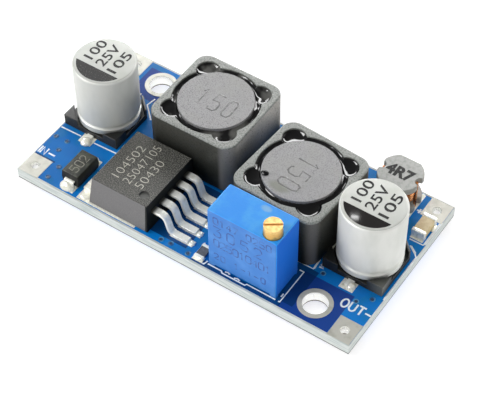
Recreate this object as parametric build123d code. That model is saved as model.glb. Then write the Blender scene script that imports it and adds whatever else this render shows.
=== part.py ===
"""Step-up voltage converter module on a small two-layer circuit board.

Frame: millimetres, origin at the centre of the board's underside, +X from the
input end to the output end, +Y to the back edge, +Z up through the parts.
The adjuster in front is the only mechanism: its slotted screw is a worm that
turns a toothed wheel, and the wheel sweeps a wiper over a ceramic element.
"""

from build123d import *
import math
import os

# Circuit board and its copper
BOARD_THICKNESS = 1.6
COPPER = 0.05
PLATING = 0.03

# Mounting holes, one at each end of a diagonal
MOUNT_HOLE_RADIUS = 1.6
MOUNT_RING_WIDTH = 0.58
MOUNT_HOLE_FROM_END = 6.5
MOUNT_HOLE_FROM_EDGE = 3.04

# Wire pads at the four corners
WIRE_PAD_LENGTH = 3.0
WIRE_PAD_WIDTH = 3.2
WIRE_PAD_INSET = 0.1
WIRE_HOLE_RADIUS = 0.6

# Can capacitors, one at each end
CAN_RADIUS = 4.1
CAP_HEIGHT = 10.2
CAN_TOP_ROUND = 0.5
CAN_FOOT_HEIGHT = 0.95
CAN_FOOT_CHAMFER = 0.25
CAN_GROOVE_DEPTH = 0.3
CAN_GROOVE_HEIGHT = 0.8
CAP_BASE_SIDE = 8.3
CAP_BASE_HEIGHT = 1.7
CAP_BASE_FLOOR = 0.8
CAP_BASE_CHAMFER = 1.7
CAP_LEAD_PITCH = 3.1
CAP_LEAD_WIDTH = 0.9
CAP_LEAD_THICKNESS = 0.3
CAP_LEAD_REACH = 0.95
CAP_LAND_MARGIN = 0.5
CAP_POST_CLEARANCE = 0.25
INPUT_END_TO_CAP = 0.25
OUTPUT_END_TO_CAP = 0.5
INPUT_CAP_Y = 1.1
OUTPUT_CAP_Y = -0.2

# Power inductors: a square ferrite ring round a wound ferrite drum
SHIELD_SIDE = 12.5
SHIELD_HEIGHT = 7.8
SHIELD_CORNER = 1.7
SHIELD_EDGE_CHAMFER = 0.12
SHIELD_WALL = 0.6
POCKET_RADIUS = 1.55
POCKET_CORNER_WALL = 1.13
RING_TO_DRUM = 0.8
DRUM_FLANGE_THICKNESS = 1.3
DRUM_POST_SHARE = 0.536
DRUM_PROUD = 0.12
WINDING_BELOW_FLANGE = 0.28
GLUE_DEPTH = 1.0
GLUE_RECESS = 0.28
INDUCTOR_FOOT_LENGTH = 5.0
INDUCTOR_FOOT_WIDTH = 2.0
INDUCTOR_FOOT_THICKNESS = 0.15
INDUCTOR_2_TURN = -3.5
INPUT_CAP_TO_INDUCTOR_1 = 3.8
INDUCTOR_1_TO_2 = 2.55
INDUCTOR_2_TO_OUTPUT_CAP = 0.3
INDUCTOR_1_TO_BACK_EDGE = 1.35
INDUCTOR_2_TO_ADJUSTER = 1.385

# Regulator: a moulded body on a heat tab, with five bent leads
REG_BODY_LENGTH = 8.9
REG_BODY_WIDTH = 10.1
REG_BODY_HEIGHT = 4.45
REG_DRAFT_TAB_END = 0.6
REG_DRAFT_LEAD_END = 0.1
REG_DRAFT_SIDE = 0.35
REG_DIMPLE_RADIUS = 0.6
REG_DIMPLE_DEPTH = 0.2
REG_DIMPLE_FROM_LEAD_END = 1.46
REG_DIMPLE_FROM_SIDE = 1.74
REG_TAB_THICKNESS = 1.27
REG_TAB_REACH = 1.3
REG_TAB_SIDE_COVER = 0.75
REG_TAB_COVERED_LENGTH = 6.6
REG_LEAD_PITCH = 1.7
REG_LEAD_WIDTH = 0.95
REG_LEAD_THICKNESS = 0.4
REG_LEAD_COUNT = 5
REG_LEAD_EXIT_HEIGHT = 2.75
REG_LEAD_ROOT = 0.5
REG_LEAD_SHOULDER = 1.75
REG_LEAD_SLOPE_RUN = 0.75
REG_LEAD_SPAN = 5.1
REG_LEAD_BEND_RADIUS = 0.9
REG_LEFT_OF_INDUCTOR_1 = 3.25
REG_TO_INDUCTOR_1 = 0.4
REG_LAND_TO_FRONT_EDGE = 0.35
REG_LAND_PAST_TAB = 0.5
REG_LAND_PAST_SIDE = 0.3
REG_LAND_FROM_LEAD_END = 1.8

# Rectifier diode with bent tabs
DIODE_LENGTH = 4.3
DIODE_WIDTH = 2.6
DIODE_HEIGHT = 2.1
DIODE_DRAFT_DEGREES = 5.0
DIODE_TAB_WIDTH = 1.45
DIODE_TAB_THICKNESS = 0.22
DIODE_TAB_EXIT_HEIGHT = 1.05
DIODE_TAB_STANDOFF = 0.28
DIODE_TAB_FOOT = 1.1
DIODE_TAB_ROOT = 0.4
DIODE_TO_TAB = 0.95
DIODE_IN_FRONT_OF_REG = 2.05

# Filter inductor: an open ferrite drum with its winding in view
FILTER_RADIUS = 2.9
FILTER_FLAT_X = 5.4
FILTER_FLAT_Y = 5.1
FILTER_HEIGHT = 4.75
FILTER_FLANGE = 0.95
FILTER_POST_RADIUS = 1.3
FILTER_WINDING_RADIUS = 2.25
FILTER_NOTCH_RADIUS = 0.6
FILTER_WIRE_RADIUS = 0.2
FILTER_WIRE_CLEARANCE = 0.02
FILTER_PAD_THICKNESS = 0.1
FILTER_PAD_LENGTH = 1.5
FILTER_TO_BACK_EDGE = 0.1
FILTER_TO_WIRE_PAD = 0.8

# Chip parts with metal end caps
CHIP_CAP_LENGTH = 3.2
CHIP_CAP_WIDTH = 1.75
CHIP_CAP_HEIGHT = 1.25
CHIP_CAP_END = 0.5
CHIP_CAP_TO_OUTPUT_END = 0.575
CHIP_CAP_TO_WIRE_PAD = 0.4
CHIP_RES_LENGTH = 2.1
CHIP_RES_WIDTH = 1.3
CHIP_RES_HEIGHT = 0.5
CHIP_RES_END = 0.4
CHIP_RES_TO_ADJUSTER = 0.65
CHIP_RES_TO_FRONT_EDGE = 0.75
END_CAP_WALL = 0.05

# Copper lands reach this far past the metal soldered to them
LAND_MARGIN_SIDE = 0.25
LAND_MARGIN_END = 0.7

# Adjuster housing: a moulded box that is open below
TRIM_WIDTH = 4.83
TRIM_HEIGHT = 10.0
TRIM_EDGE_ROUND = 0.25
TRIM_LEFT_OF_INDUCTOR_2 = 0.2
TRIM_TO_FRONT_EDGE = 1.035
TRIM_WALL = 0.5
TRIM_TOP = 1.2
TRIM_STANDOFF = 0.3
TRIM_FOOT = 0.9
TRIM_SEAL_THICKNESS = 1.0

# Adjuster screw: slotted head, neck, worm and lower pivot
SCREW_FROM_END = 1.4
SCREW_FROM_FRONT = 1.35
SCREW_HEAD_RADIUS = 1.15
SCREW_HEAD_PROUD = 1.5
SCREW_SLOT_WIDTH = 0.3
SCREW_SLOT_DEPTH = 0.7
SCREW_SLOT_TURN = 34.0
SCREW_HEAD_SUNK = 0.45
SCREW_NECK_RADIUS = 0.72
SCREW_CLIP_GROOVE_RADIUS = 0.5
SCREW_PIVOT_RADIUS = 0.35
SCREW_PIVOT_DEPTH = 0.5
SCREW_RUNNING_GAP = 0.05
CLIP_THICKNESS = 0.3
CLIP_RADIUS = 0.85
SEAL_RING_WIRE = 0.12
SEAL_RING_CLEARANCE = 0.0125
SCREW_COLLAR_HEIGHT = 0.4

# Worm and wheel
WORM_PITCH = 0.6
WORM_TURNS = 7
WORM_PITCH_RADIUS = 0.62
WORM_ADDENDUM = 0.15
WORM_DEDENDUM = 0.19
WORM_THREAD_SHARE = 0.33
WHEEL_TEETH = 34
WHEEL_TOOTH_SHARE = 0.36
WHEEL_FACE = 0.7
WHEEL_FLANK_DEGREES = 18.0
WHEEL_HUB_RADIUS = 1.35
WHEEL_HUB_REAR = 0.5
WHEEL_PIN_RADIUS = 0.7
WHEEL_SIDE_GAP = 0.05
WHEEL_ABOVE_SEAL = 0.3
WHEEL_TO_END_WALL = 0.535

# Wiper and the element it slides on
ELEMENT_THICKNESS = 0.6
ELEMENT_SIDE_GAP = 0.3
WIPER_THICKNESS = 0.12
WIPER_ARM_WIDTH = 0.9
WIPER_ARM_REACH = 2.4
WIPER_TIP_GAP = 0.02
WIPER_RING_RADIUS = 1.2
WIPER_BEND_RADIUS = 0.25
WIPER_ARM_ROOT = 0.8
WIPER_ARM_KNEE = 1.325

# Adjuster pins through the board
PIN_RADIUS = 0.255
PIN_PITCH = 2.54
PIN_BELOW_BOARD = 0.9
PIN_UP_ELEMENT = 0.9
PIN_HOLE_RADIUS = 0.42
PIN_PAD_RADIUS = 0.85
SOLDER_CONE_HEIGHT = 0.65
SOLDER_TIP_RADIUS = 0.3

# Heights and places that follow from the sizes above
LAND_TOP = BOARD_THICKNESS + COPPER
BOARD_LENGTH = (
    INPUT_END_TO_CAP + CAP_BASE_SIDE + INPUT_CAP_TO_INDUCTOR_1 + SHIELD_SIDE + INDUCTOR_1_TO_2
    + SHIELD_SIDE + INDUCTOR_2_TO_OUTPUT_CAP + CAP_BASE_SIDE + OUTPUT_END_TO_CAP
)
BOARD_WIDTH = (
    REG_LAND_TO_FRONT_EDGE + REG_LAND_PAST_SIDE + REG_BODY_WIDTH
    + REG_TO_INDUCTOR_1 + SHIELD_SIDE + INDUCTOR_1_TO_BACK_EDGE
)
INPUT_END = -BOARD_LENGTH / 2
OUTPUT_END = BOARD_LENGTH / 2
FRONT_EDGE = -BOARD_WIDTH / 2
BACK_EDGE = BOARD_WIDTH / 2
WIRE_PAD_INNER_X = OUTPUT_END - WIRE_PAD_INSET - WIRE_PAD_LENGTH
WIRE_PAD_INNER_Y = BACK_EDGE - WIRE_PAD_INSET - WIRE_PAD_WIDTH
INPUT_CAP_X = INPUT_END + INPUT_END_TO_CAP + CAP_BASE_SIDE / 2
OUTPUT_CAP_X = OUTPUT_END - OUTPUT_END_TO_CAP - CAP_BASE_SIDE / 2
INDUCTOR_1_X = INPUT_CAP_X + CAP_BASE_SIDE / 2 + INPUT_CAP_TO_INDUCTOR_1 + SHIELD_SIDE / 2
INDUCTOR_1_Y = BACK_EDGE - INDUCTOR_1_TO_BACK_EDGE - SHIELD_SIDE / 2
INDUCTOR_2_X = OUTPUT_CAP_X - CAP_BASE_SIDE / 2 - INDUCTOR_2_TO_OUTPUT_CAP - SHIELD_SIDE / 2
SHIELD_CORNER_REACH = (SHIELD_SIDE / 2 - SHIELD_CORNER) * math.sqrt(2) + SHIELD_CORNER
SHIELD_BORE_RADIUS = SHIELD_SIDE / 2 - SHIELD_WALL
DRUM_FLANGE_RADIUS = SHIELD_BORE_RADIUS - RING_TO_DRUM
DRUM_POST_RADIUS = DRUM_POST_SHARE * DRUM_FLANGE_RADIUS
WINDING_RADIUS = DRUM_FLANGE_RADIUS - WINDING_BELOW_FLANGE
REG_X = INDUCTOR_1_X - REG_LEFT_OF_INDUCTOR_1
REG_Y = INDUCTOR_1_Y - SHIELD_SIDE / 2 - REG_TO_INDUCTOR_1 - REG_BODY_WIDTH / 2
REG_TAB_END_X = REG_X - REG_BODY_LENGTH / 2 - REG_TAB_REACH
DIODE_X = REG_TAB_END_X - DIODE_TO_TAB - DIODE_WIDTH / 2
DIODE_Y = REG_Y - DIODE_IN_FRONT_OF_REG
FILTER_X = WIRE_PAD_INNER_X - FILTER_TO_WIRE_PAD - FILTER_FLAT_X / 2
FILTER_Y = BACK_EDGE - FILTER_TO_BACK_EDGE - FILTER_FLAT_Y / 2
CHIP_CAP_X = OUTPUT_END - CHIP_CAP_TO_OUTPUT_END - CHIP_CAP_WIDTH / 2
CHIP_CAP_Y = WIRE_PAD_INNER_Y - CHIP_CAP_TO_WIRE_PAD - CHIP_CAP_LENGTH / 2
WHEEL_PITCH_RADIUS = WHEEL_TEETH * WORM_PITCH / (2 * math.pi)
WHEEL_TIP_RADIUS = WHEEL_PITCH_RADIUS + WORM_ADDENDUM
WHEEL_ROOT_RADIUS = WHEEL_PITCH_RADIUS - WORM_DEDENDUM
TRIM_LENGTH = (
    TRIM_WALL + WHEEL_TO_END_WALL + WHEEL_TIP_RADIUS + WHEEL_PITCH_RADIUS
    + WORM_PITCH_RADIUS + SCREW_FROM_END
)
TRIM_X = INDUCTOR_2_X - TRIM_LEFT_OF_INDUCTOR_2
TRIM_Y = FRONT_EDGE + TRIM_TO_FRONT_EDGE + TRIM_WIDTH / 2
CHIP_RES_X = TRIM_X - TRIM_LENGTH / 2 - CHIP_RES_TO_ADJUSTER - CHIP_RES_WIDTH / 2
CHIP_RES_Y = FRONT_EDGE + CHIP_RES_TO_FRONT_EDGE + CHIP_RES_LENGTH / 2
TRIM_TOP_Z = BOARD_THICKNESS + TRIM_HEIGHT
TRIM_CEILING_Z = TRIM_TOP_Z - TRIM_TOP
TRIM_SEAL_LOW_Z = BOARD_THICKNESS + TRIM_STANDOFF
TRIM_SEAL_TOP_Z = TRIM_SEAL_LOW_Z + TRIM_SEAL_THICKNESS
TRIM_FRONT_Y = TRIM_Y - TRIM_WIDTH / 2
TRIM_BACK_Y = TRIM_Y + TRIM_WIDTH / 2
INDUCTOR_2_Y = TRIM_BACK_Y + INDUCTOR_2_TO_ADJUSTER + SHIELD_SIDE / 2
SCREW_X = TRIM_X + TRIM_LENGTH / 2 - SCREW_FROM_END
SCREW_Y = TRIM_FRONT_Y + SCREW_FROM_FRONT
WHEEL_X = SCREW_X - WORM_PITCH_RADIUS - WHEEL_PITCH_RADIUS
WHEEL_Z = TRIM_SEAL_TOP_Z + WHEEL_ABOVE_SEAL + WHEEL_TIP_RADIUS
ELEMENT_FRONT_Y = TRIM_BACK_Y - TRIM_WALL - ELEMENT_THICKNESS


def slab(length, width, low, high, x=0.0, y=0.0):
    """A rectangular block between two heights."""
    return Pos(x, y, (low + high) / 2) * Box(length, width, high - low)


def rod(radius, low, high, x=0.0, y=0.0):
    """An upright round bar between two heights."""
    return Pos(x, y, (low + high) / 2) * Cylinder(radius, high - low)


def ribbon(points, radius, width, thickness, width_direction):
    """A flat strip swept along straight runs that are joined by round bends."""
    path = FilletPolyline(*points, radius=radius)
    start = Plane(origin=path @ 0, x_dir=width_direction, z_dir=path % 0)
    return sweep(start * Rectangle(width, thickness), path=path)


def group(solids):
    """Several separate solids kept in one node."""
    return Compound(children=list(solids))


def land(length, width, x, y):
    """A tinned copper area on the top face of the board."""
    return slab(length, width, BOARD_THICKNESS, LAND_TOP, x, y)


def corners():
    """The centres of the four wire pads."""
    reach_x = WIRE_PAD_INNER_X + WIRE_PAD_LENGTH / 2
    reach_y = WIRE_PAD_INNER_Y + WIRE_PAD_WIDTH / 2
    return [(sx * reach_x, sy * reach_y) for sx in (-1, 1) for sy in (-1, 1)]


def mounting_holes():
    """The centres of the two mounting holes."""
    x = OUTPUT_END - MOUNT_HOLE_FROM_END
    y = BACK_EDGE - MOUNT_HOLE_FROM_EDGE
    return [(x, -y), (-x, y)]


def pin_places():
    """The centres of the adjuster's three pins."""
    return [(TRIM_X + step * PIN_PITCH, TRIM_Y) for step in (-1, 0, 1)]


# Circuit board
def circuit_board():
    """A glass-fibre plate with every hole drilled for its plating."""
    board = slab(BOARD_LENGTH, BOARD_WIDTH, 0, BOARD_THICKNESS)
    drills = [(MOUNT_HOLE_RADIUS, place) for place in mounting_holes()]
    drills += [(WIRE_HOLE_RADIUS, place) for place in corners()]
    drills += [(PIN_HOLE_RADIUS, place) for place in pin_places()]
    for radius, (x, y) in drills:
        board -= rod(radius + PLATING, 0, BOARD_THICKNESS, x, y)
    return board


def plated_hole(top_face, hole_radius, x, y):
    """Copper on both faces of the board, joined by the plating of the hole."""
    faces = extrude(top_face, COPPER)
    copper = Pos(x, y, BOARD_THICKNESS) * faces
    copper += Pos(x, y, -COPPER) * faces
    copper += rod(hole_radius + PLATING, 0, BOARD_THICKNESS, x, y)
    return copper - rod(hole_radius, -COPPER, LAND_TOP, x, y)


def wire_pads():
    """The four square pads for the input and output wires."""
    face = Rectangle(WIRE_PAD_LENGTH, WIRE_PAD_WIDTH)
    return group(plated_hole(face, WIRE_HOLE_RADIUS, x, y) for x, y in corners())


def mounting_rings():
    """The tinned rings round the mounting holes."""
    face = Circle(MOUNT_HOLE_RADIUS + MOUNT_RING_WIDTH)
    return group(plated_hole(face, MOUNT_HOLE_RADIUS, x, y) for x, y in mounting_holes())


def adjuster_pads():
    """The round pads of the adjuster's three pins."""
    face = Circle(PIN_PAD_RADIUS)
    return group(plated_hole(face, PIN_HOLE_RADIUS, x, y) for x, y in pin_places())


# Can capacitors
def capacitor_can(x, y):
    """An aluminium can, rounded on top, with the rolled groove above its foot."""
    low = LAND_TOP + CAP_BASE_FLOOR
    top = BOARD_THICKNESS + CAP_HEIGHT
    groove_low = low + CAN_FOOT_HEIGHT
    groove_high = groove_low + CAN_GROOVE_HEIGHT
    groove_bottom = (CAN_RADIUS - CAN_GROOVE_DEPTH, (groove_low + groove_high) / 2)
    shoulder = (CAN_RADIUS, top - CAN_TOP_ROUND)
    crown = (CAN_RADIUS - CAN_TOP_ROUND, top)
    profile = Polyline((0, low), (CAN_RADIUS - CAN_FOOT_CHAMFER, low),
                       (CAN_RADIUS, low + CAN_FOOT_CHAMFER), (CAN_RADIUS, groove_low))
    profile += ThreePointArc((CAN_RADIUS, groove_low), groove_bottom, (CAN_RADIUS, groove_high))
    profile += Line((CAN_RADIUS, groove_high), shoulder)
    profile += RadiusArc(shoulder, crown, -CAN_TOP_ROUND)
    profile += Polyline(crown, (0, top), (0, low))
    return Pos(x, y, 0) * revolve(Plane.XZ * make_face(profile), axis=Axis.Z)


def capacitor_leads(x, y):
    """Two flattened leads that leave the can and turn outwards under the base."""
    lead_mid = LAND_TOP + CAP_LEAD_THICKNESS / 2
    leads = []
    for side in (-1, 1):
        inner = y + side * CAP_LEAD_PITCH / 2
        outer = y + side * (CAP_BASE_SIDE / 2 + CAP_LEAD_REACH)
        points = [
            (x, inner, LAND_TOP + CAP_BASE_FLOOR),
            (x, inner, lead_mid),
            (x, outer, lead_mid),
        ]
        bend = CAP_LEAD_THICKNESS
        leads.append(ribbon(points, bend, CAP_LEAD_WIDTH, CAP_LEAD_THICKNESS, (1, 0, 0)))
    return group(leads)


def capacitor_base(x, y):
    """A plastic plate that the can stands on between four corner posts, two corners cut off."""
    base = slab(CAP_BASE_SIDE, CAP_BASE_SIDE, LAND_TOP, LAND_TOP + CAP_BASE_HEIGHT, x, y)
    marked = base.edges().filter_by(Axis.Z).group_by(Axis.Y)[-1]
    base = chamfer(marked, CAP_BASE_CHAMFER)
    post_to_post = 2 * (CAN_RADIUS + CAP_POST_CLEARANCE)
    opening = slab(post_to_post, post_to_post, LAND_TOP + CAP_BASE_FLOOR, LAND_TOP + CAP_BASE_HEIGHT)
    base -= Pos(x, y, 0) * Rot(0, 0, 45) * opening
    for lead in capacitor_leads(x, y).solids():
        base -= lead
    return base


# Power inductors
def ring_opening():
    """The ring's opening: a round bore with a glue pocket at each corner."""
    opening = Circle(SHIELD_BORE_RADIUS)
    offset = SHIELD_CORNER_REACH - POCKET_CORNER_WALL - POCKET_RADIUS
    for quarter in range(4):
        angle = math.radians(45 + 90 * quarter)
        centre = (offset * math.cos(angle), offset * math.sin(angle))
        opening += Pos(*centre) * Circle(POCKET_RADIUS)
    return opening


def inductor_place(x, y, turn):
    """Where an inductor's own frame stands on the board."""
    return Pos(x, y, LAND_TOP) * Rot(0, 0, turn)


def inductor_shield(place):
    """The square ferrite ring, its opening cut right through."""
    low = INDUCTOR_FOOT_THICKNESS
    high = low + SHIELD_HEIGHT
    outline = RectangleRounded(SHIELD_SIDE, SHIELD_SIDE, SHIELD_CORNER)
    block = Pos(0, 0, low) * extrude(outline, SHIELD_HEIGHT)
    rim = block.faces().sort_by(Axis.Z)[-1].edges()
    block = chamfer(rim, SHIELD_EDGE_CHAMFER)
    bore = Pos(0, 0, low) * extrude(ring_opening(), high - low)
    return place * (block - bore)


def inductor_drum(place):
    """The ferrite drum: two flanges on a post."""
    low = INDUCTOR_FOOT_THICKNESS
    high = low + SHIELD_HEIGHT + DRUM_PROUD
    drum = rod(DRUM_FLANGE_RADIUS, low, low + DRUM_FLANGE_THICKNESS)
    drum += rod(DRUM_POST_RADIUS, low, high)
    drum += rod(DRUM_FLANGE_RADIUS, high - DRUM_FLANGE_THICKNESS, high)
    return place * drum


def inductor_winding(place):
    """The enamelled copper coil between the drum's flanges."""
    low = INDUCTOR_FOOT_THICKNESS + DRUM_FLANGE_THICKNESS
    high = INDUCTOR_FOOT_THICKNESS + SHIELD_HEIGHT + DRUM_PROUD - DRUM_FLANGE_THICKNESS
    coil = rod(WINDING_RADIUS, low, high) - rod(DRUM_POST_RADIUS, low, high)
    return place * coil


def inductor_glue(place):
    """Two rings of black glue that hold the drum in its ring, above and below."""
    low = INDUCTOR_FOOT_THICKNESS
    high = low + SHIELD_HEIGHT - GLUE_RECESS
    gap = ring_opening() - Circle(DRUM_FLANGE_RADIUS)
    layer = extrude(gap, GLUE_DEPTH)
    return group([place * Pos(0, 0, low) * layer, place * Pos(0, 0, high - GLUE_DEPTH) * layer])


def inductor_feet(place):
    """The two tinned plates under the ring that are soldered to the board."""
    reach = SHIELD_SIDE / 2 - INDUCTOR_FOOT_WIDTH / 2
    plate = slab(INDUCTOR_FOOT_WIDTH, INDUCTOR_FOOT_LENGTH, 0, INDUCTOR_FOOT_THICKNESS)
    return group(place * Pos(side * reach, 0, 0) * plate for side in (-1, 1))


def inductor_lands(x, y):
    """The two copper areas under an inductor's feet."""
    reach = SHIELD_SIDE / 2 - INDUCTOR_FOOT_WIDTH / 2
    length = INDUCTOR_FOOT_WIDTH + 2 * LAND_MARGIN_SIDE
    width = INDUCTOR_FOOT_LENGTH + 2 * LAND_MARGIN_END
    return [land(length, width, x + side * reach, y) for side in (-1, 1)]


# Regulator
def regulator_tab():
    """The heat tab: a copper plate under the body that reaches out past it."""
    low = LAND_TOP
    length = REG_TAB_REACH + REG_TAB_COVERED_LENGTH
    width = REG_BODY_WIDTH - 2 * REG_TAB_SIDE_COVER
    x = REG_TAB_END_X + length / 2
    return slab(length, width, low, low + REG_TAB_THICKNESS, x, REG_Y)


def regulator_lead_rows():
    """How far each lead lies from the body's centre line."""
    middle = (REG_LEAD_COUNT - 1) / 2
    return [(index - middle) * REG_LEAD_PITCH for index in range(REG_LEAD_COUNT)]


def regulator_leads():
    """Five flat leads that leave the body level, turn down and end in a foot."""
    face_x = REG_X + REG_BODY_LENGTH / 2
    exit_z = LAND_TOP + REG_LEAD_EXIT_HEIGHT
    foot_z = LAND_TOP + REG_LEAD_THICKNESS / 2
    shoulder_x = face_x + REG_LEAD_SHOULDER
    leads = []
    for row in regulator_lead_rows():
        y = REG_Y + row
        points = [
            (face_x - REG_LEAD_ROOT, y, exit_z),
            (shoulder_x, y, exit_z),
            (shoulder_x + REG_LEAD_SLOPE_RUN, y, foot_z),
            (face_x + REG_LEAD_SPAN, y, foot_z),
        ]
        lead = ribbon(points, REG_LEAD_BEND_RADIUS, REG_LEAD_WIDTH, REG_LEAD_THICKNESS, (0, 1, 0))
        leads.append(lead)
    return group(leads)


def regulator_body():
    """The moulded body, drafted on every side, closed round tab and leads."""
    low = LAND_TOP
    high = LAND_TOP + REG_BODY_HEIGHT
    top_length = REG_BODY_LENGTH - REG_DRAFT_TAB_END - REG_DRAFT_LEAD_END
    top_x = REG_X + (REG_DRAFT_TAB_END - REG_DRAFT_LEAD_END) / 2
    top_width = REG_BODY_WIDTH - 2 * REG_DRAFT_SIDE
    foot = Pos(REG_X, REG_Y, low) * Rectangle(REG_BODY_LENGTH, REG_BODY_WIDTH)
    roof = Pos(top_x, REG_Y, high) * Rectangle(top_length, top_width)
    body = loft([foot.face(), roof.face()])
    dimple_x = REG_X + REG_BODY_LENGTH / 2 - REG_DIMPLE_FROM_LEAD_END
    dimple_y = REG_Y - REG_BODY_WIDTH / 2 + REG_DIMPLE_FROM_SIDE
    body -= rod(REG_DIMPLE_RADIUS, high - REG_DIMPLE_DEPTH, high, dimple_x, dimple_y)
    body -= regulator_tab()
    for lead in regulator_leads().solids():
        body -= lead
    return body


def regulator_lands():
    """The large tab area and a small area under each foot."""
    tab_left = REG_TAB_END_X - REG_LAND_PAST_TAB
    tab_right = REG_X + REG_BODY_LENGTH / 2 - REG_LAND_FROM_LEAD_END
    tab_width = REG_BODY_WIDTH + 2 * REG_LAND_PAST_SIDE
    tab_land = land(tab_right - tab_left, tab_width, (tab_left + tab_right) / 2, REG_Y)
    foot_start = REG_X + REG_BODY_LENGTH / 2 + REG_LEAD_SHOULDER + REG_LEAD_SLOPE_RUN
    foot_end = REG_X + REG_BODY_LENGTH / 2 + REG_LEAD_SPAN + LAND_MARGIN_END
    feet = [
        land(foot_end - foot_start, REG_LEAD_WIDTH, (foot_start + foot_end) / 2, REG_Y + row)
        for row in regulator_lead_rows()
    ]
    return [tab_land] + feet


# Diode
def diode_tabs():
    """Two tabs that leave the ends at mid height and fold under the body."""
    exit_z = LAND_TOP + DIODE_TAB_EXIT_HEIGHT
    foot_z = LAND_TOP + DIODE_TAB_THICKNESS / 2
    tabs = []
    for side in (-1, 1):
        end = DIODE_LENGTH / 2
        outer = end + DIODE_TAB_STANDOFF
        points = [
            (DIODE_X, DIODE_Y + side * (end - DIODE_TAB_ROOT), exit_z),
            (DIODE_X, DIODE_Y + side * outer, exit_z),
            (DIODE_X, DIODE_Y + side * outer, foot_z),
            (DIODE_X, DIODE_Y + side * (outer - DIODE_TAB_FOOT), foot_z),
        ]
        bend = DIODE_TAB_THICKNESS
        tabs.append(ribbon(points, bend, DIODE_TAB_WIDTH, DIODE_TAB_THICKNESS, (1, 0, 0)))
    return group(tabs)


def diode_body():
    """A moulded block, drafted up and down from the height of its tabs."""
    outline = Rectangle(DIODE_WIDTH, DIODE_LENGTH)
    below = DIODE_TAB_EXIT_HEIGHT - DIODE_TAB_THICKNESS
    above = DIODE_HEIGHT - DIODE_TAB_EXIT_HEIGHT
    body = extrude(outline, above, taper=DIODE_DRAFT_DEGREES)
    body += extrude(outline, -below, taper=DIODE_DRAFT_DEGREES)
    body = Pos(DIODE_X, DIODE_Y, LAND_TOP + DIODE_TAB_EXIT_HEIGHT) * body
    for tab in diode_tabs().solids():
        body -= tab
    return body


# Filter inductor
def filter_flange(low, high):
    """A ferrite flange with four flats and a wire notch on two of them."""
    outline = Circle(FILTER_RADIUS) & Rectangle(FILTER_FLAT_X, FILTER_FLAT_Y)
    for side in (-1, 1):
        outline -= Pos(side * FILTER_FLAT_X / 2, 0) * Circle(FILTER_NOTCH_RADIUS)
    return Pos(0, 0, low) * extrude(outline, high - low)


def filter_drum():
    """The open drum: two notched flanges on a post."""
    low = FILTER_PAD_THICKNESS
    high = low + FILTER_HEIGHT
    drum = filter_flange(low, low + FILTER_FLANGE)
    drum += rod(FILTER_POST_RADIUS, low, high)
    drum += filter_flange(high - FILTER_FLANGE, high)
    return Pos(FILTER_X, FILTER_Y, LAND_TOP) * drum


def filter_winding():
    """The copper coil and the two wire ends that run down the notches."""
    low = FILTER_PAD_THICKNESS + FILTER_FLANGE
    high = FILTER_PAD_THICKNESS + FILTER_HEIGHT - FILTER_FLANGE
    coil = rod(FILTER_WINDING_RADIUS, low, high) - rod(FILTER_POST_RADIUS, low, high)
    wire_x = FILTER_FLAT_X / 2 - FILTER_NOTCH_RADIUS + FILTER_WIRE_RADIUS + FILTER_WIRE_CLEARANCE
    for side in (-1, 1):
        coil += rod(FILTER_WIRE_RADIUS, FILTER_PAD_THICKNESS, high, side * wire_x, 0)
    return Pos(FILTER_X, FILTER_Y, LAND_TOP) * coil


def filter_pads():
    """The two silvered areas under the drum."""
    outline = Circle(FILTER_RADIUS) & Rectangle(FILTER_FLAT_X, FILTER_FLAT_Y)
    reach = FILTER_FLAT_X / 2 - FILTER_PAD_LENGTH / 2
    pads = []
    for side in (-1, 1):
        half = outline & Pos(side * reach, 0) * Rectangle(FILTER_PAD_LENGTH, FILTER_FLAT_Y)
        pads.append(Pos(FILTER_X, FILTER_Y, LAND_TOP) * extrude(half, FILTER_PAD_THICKNESS))
    return group(pads)


# Chip parts
def chip_body(length, width, height, x, y):
    """The ceramic block of a chip part, its long side along Y."""
    low = LAND_TOP + END_CAP_WALL
    high = LAND_TOP + height - END_CAP_WALL
    return slab(width - 2 * END_CAP_WALL, length - 2 * END_CAP_WALL, low, high, x, y)


def chip_ends(length, width, height, end, x, y):
    """The two metal caps that wrap the ends of a chip part."""
    reach = length / 2 - end / 2
    core = chip_body(length, width, height, x, y)
    caps = []
    for side in (-1, 1):
        caps.append(slab(width, end, LAND_TOP, LAND_TOP + height, x, y + side * reach) - core)
    return group(caps)


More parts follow.
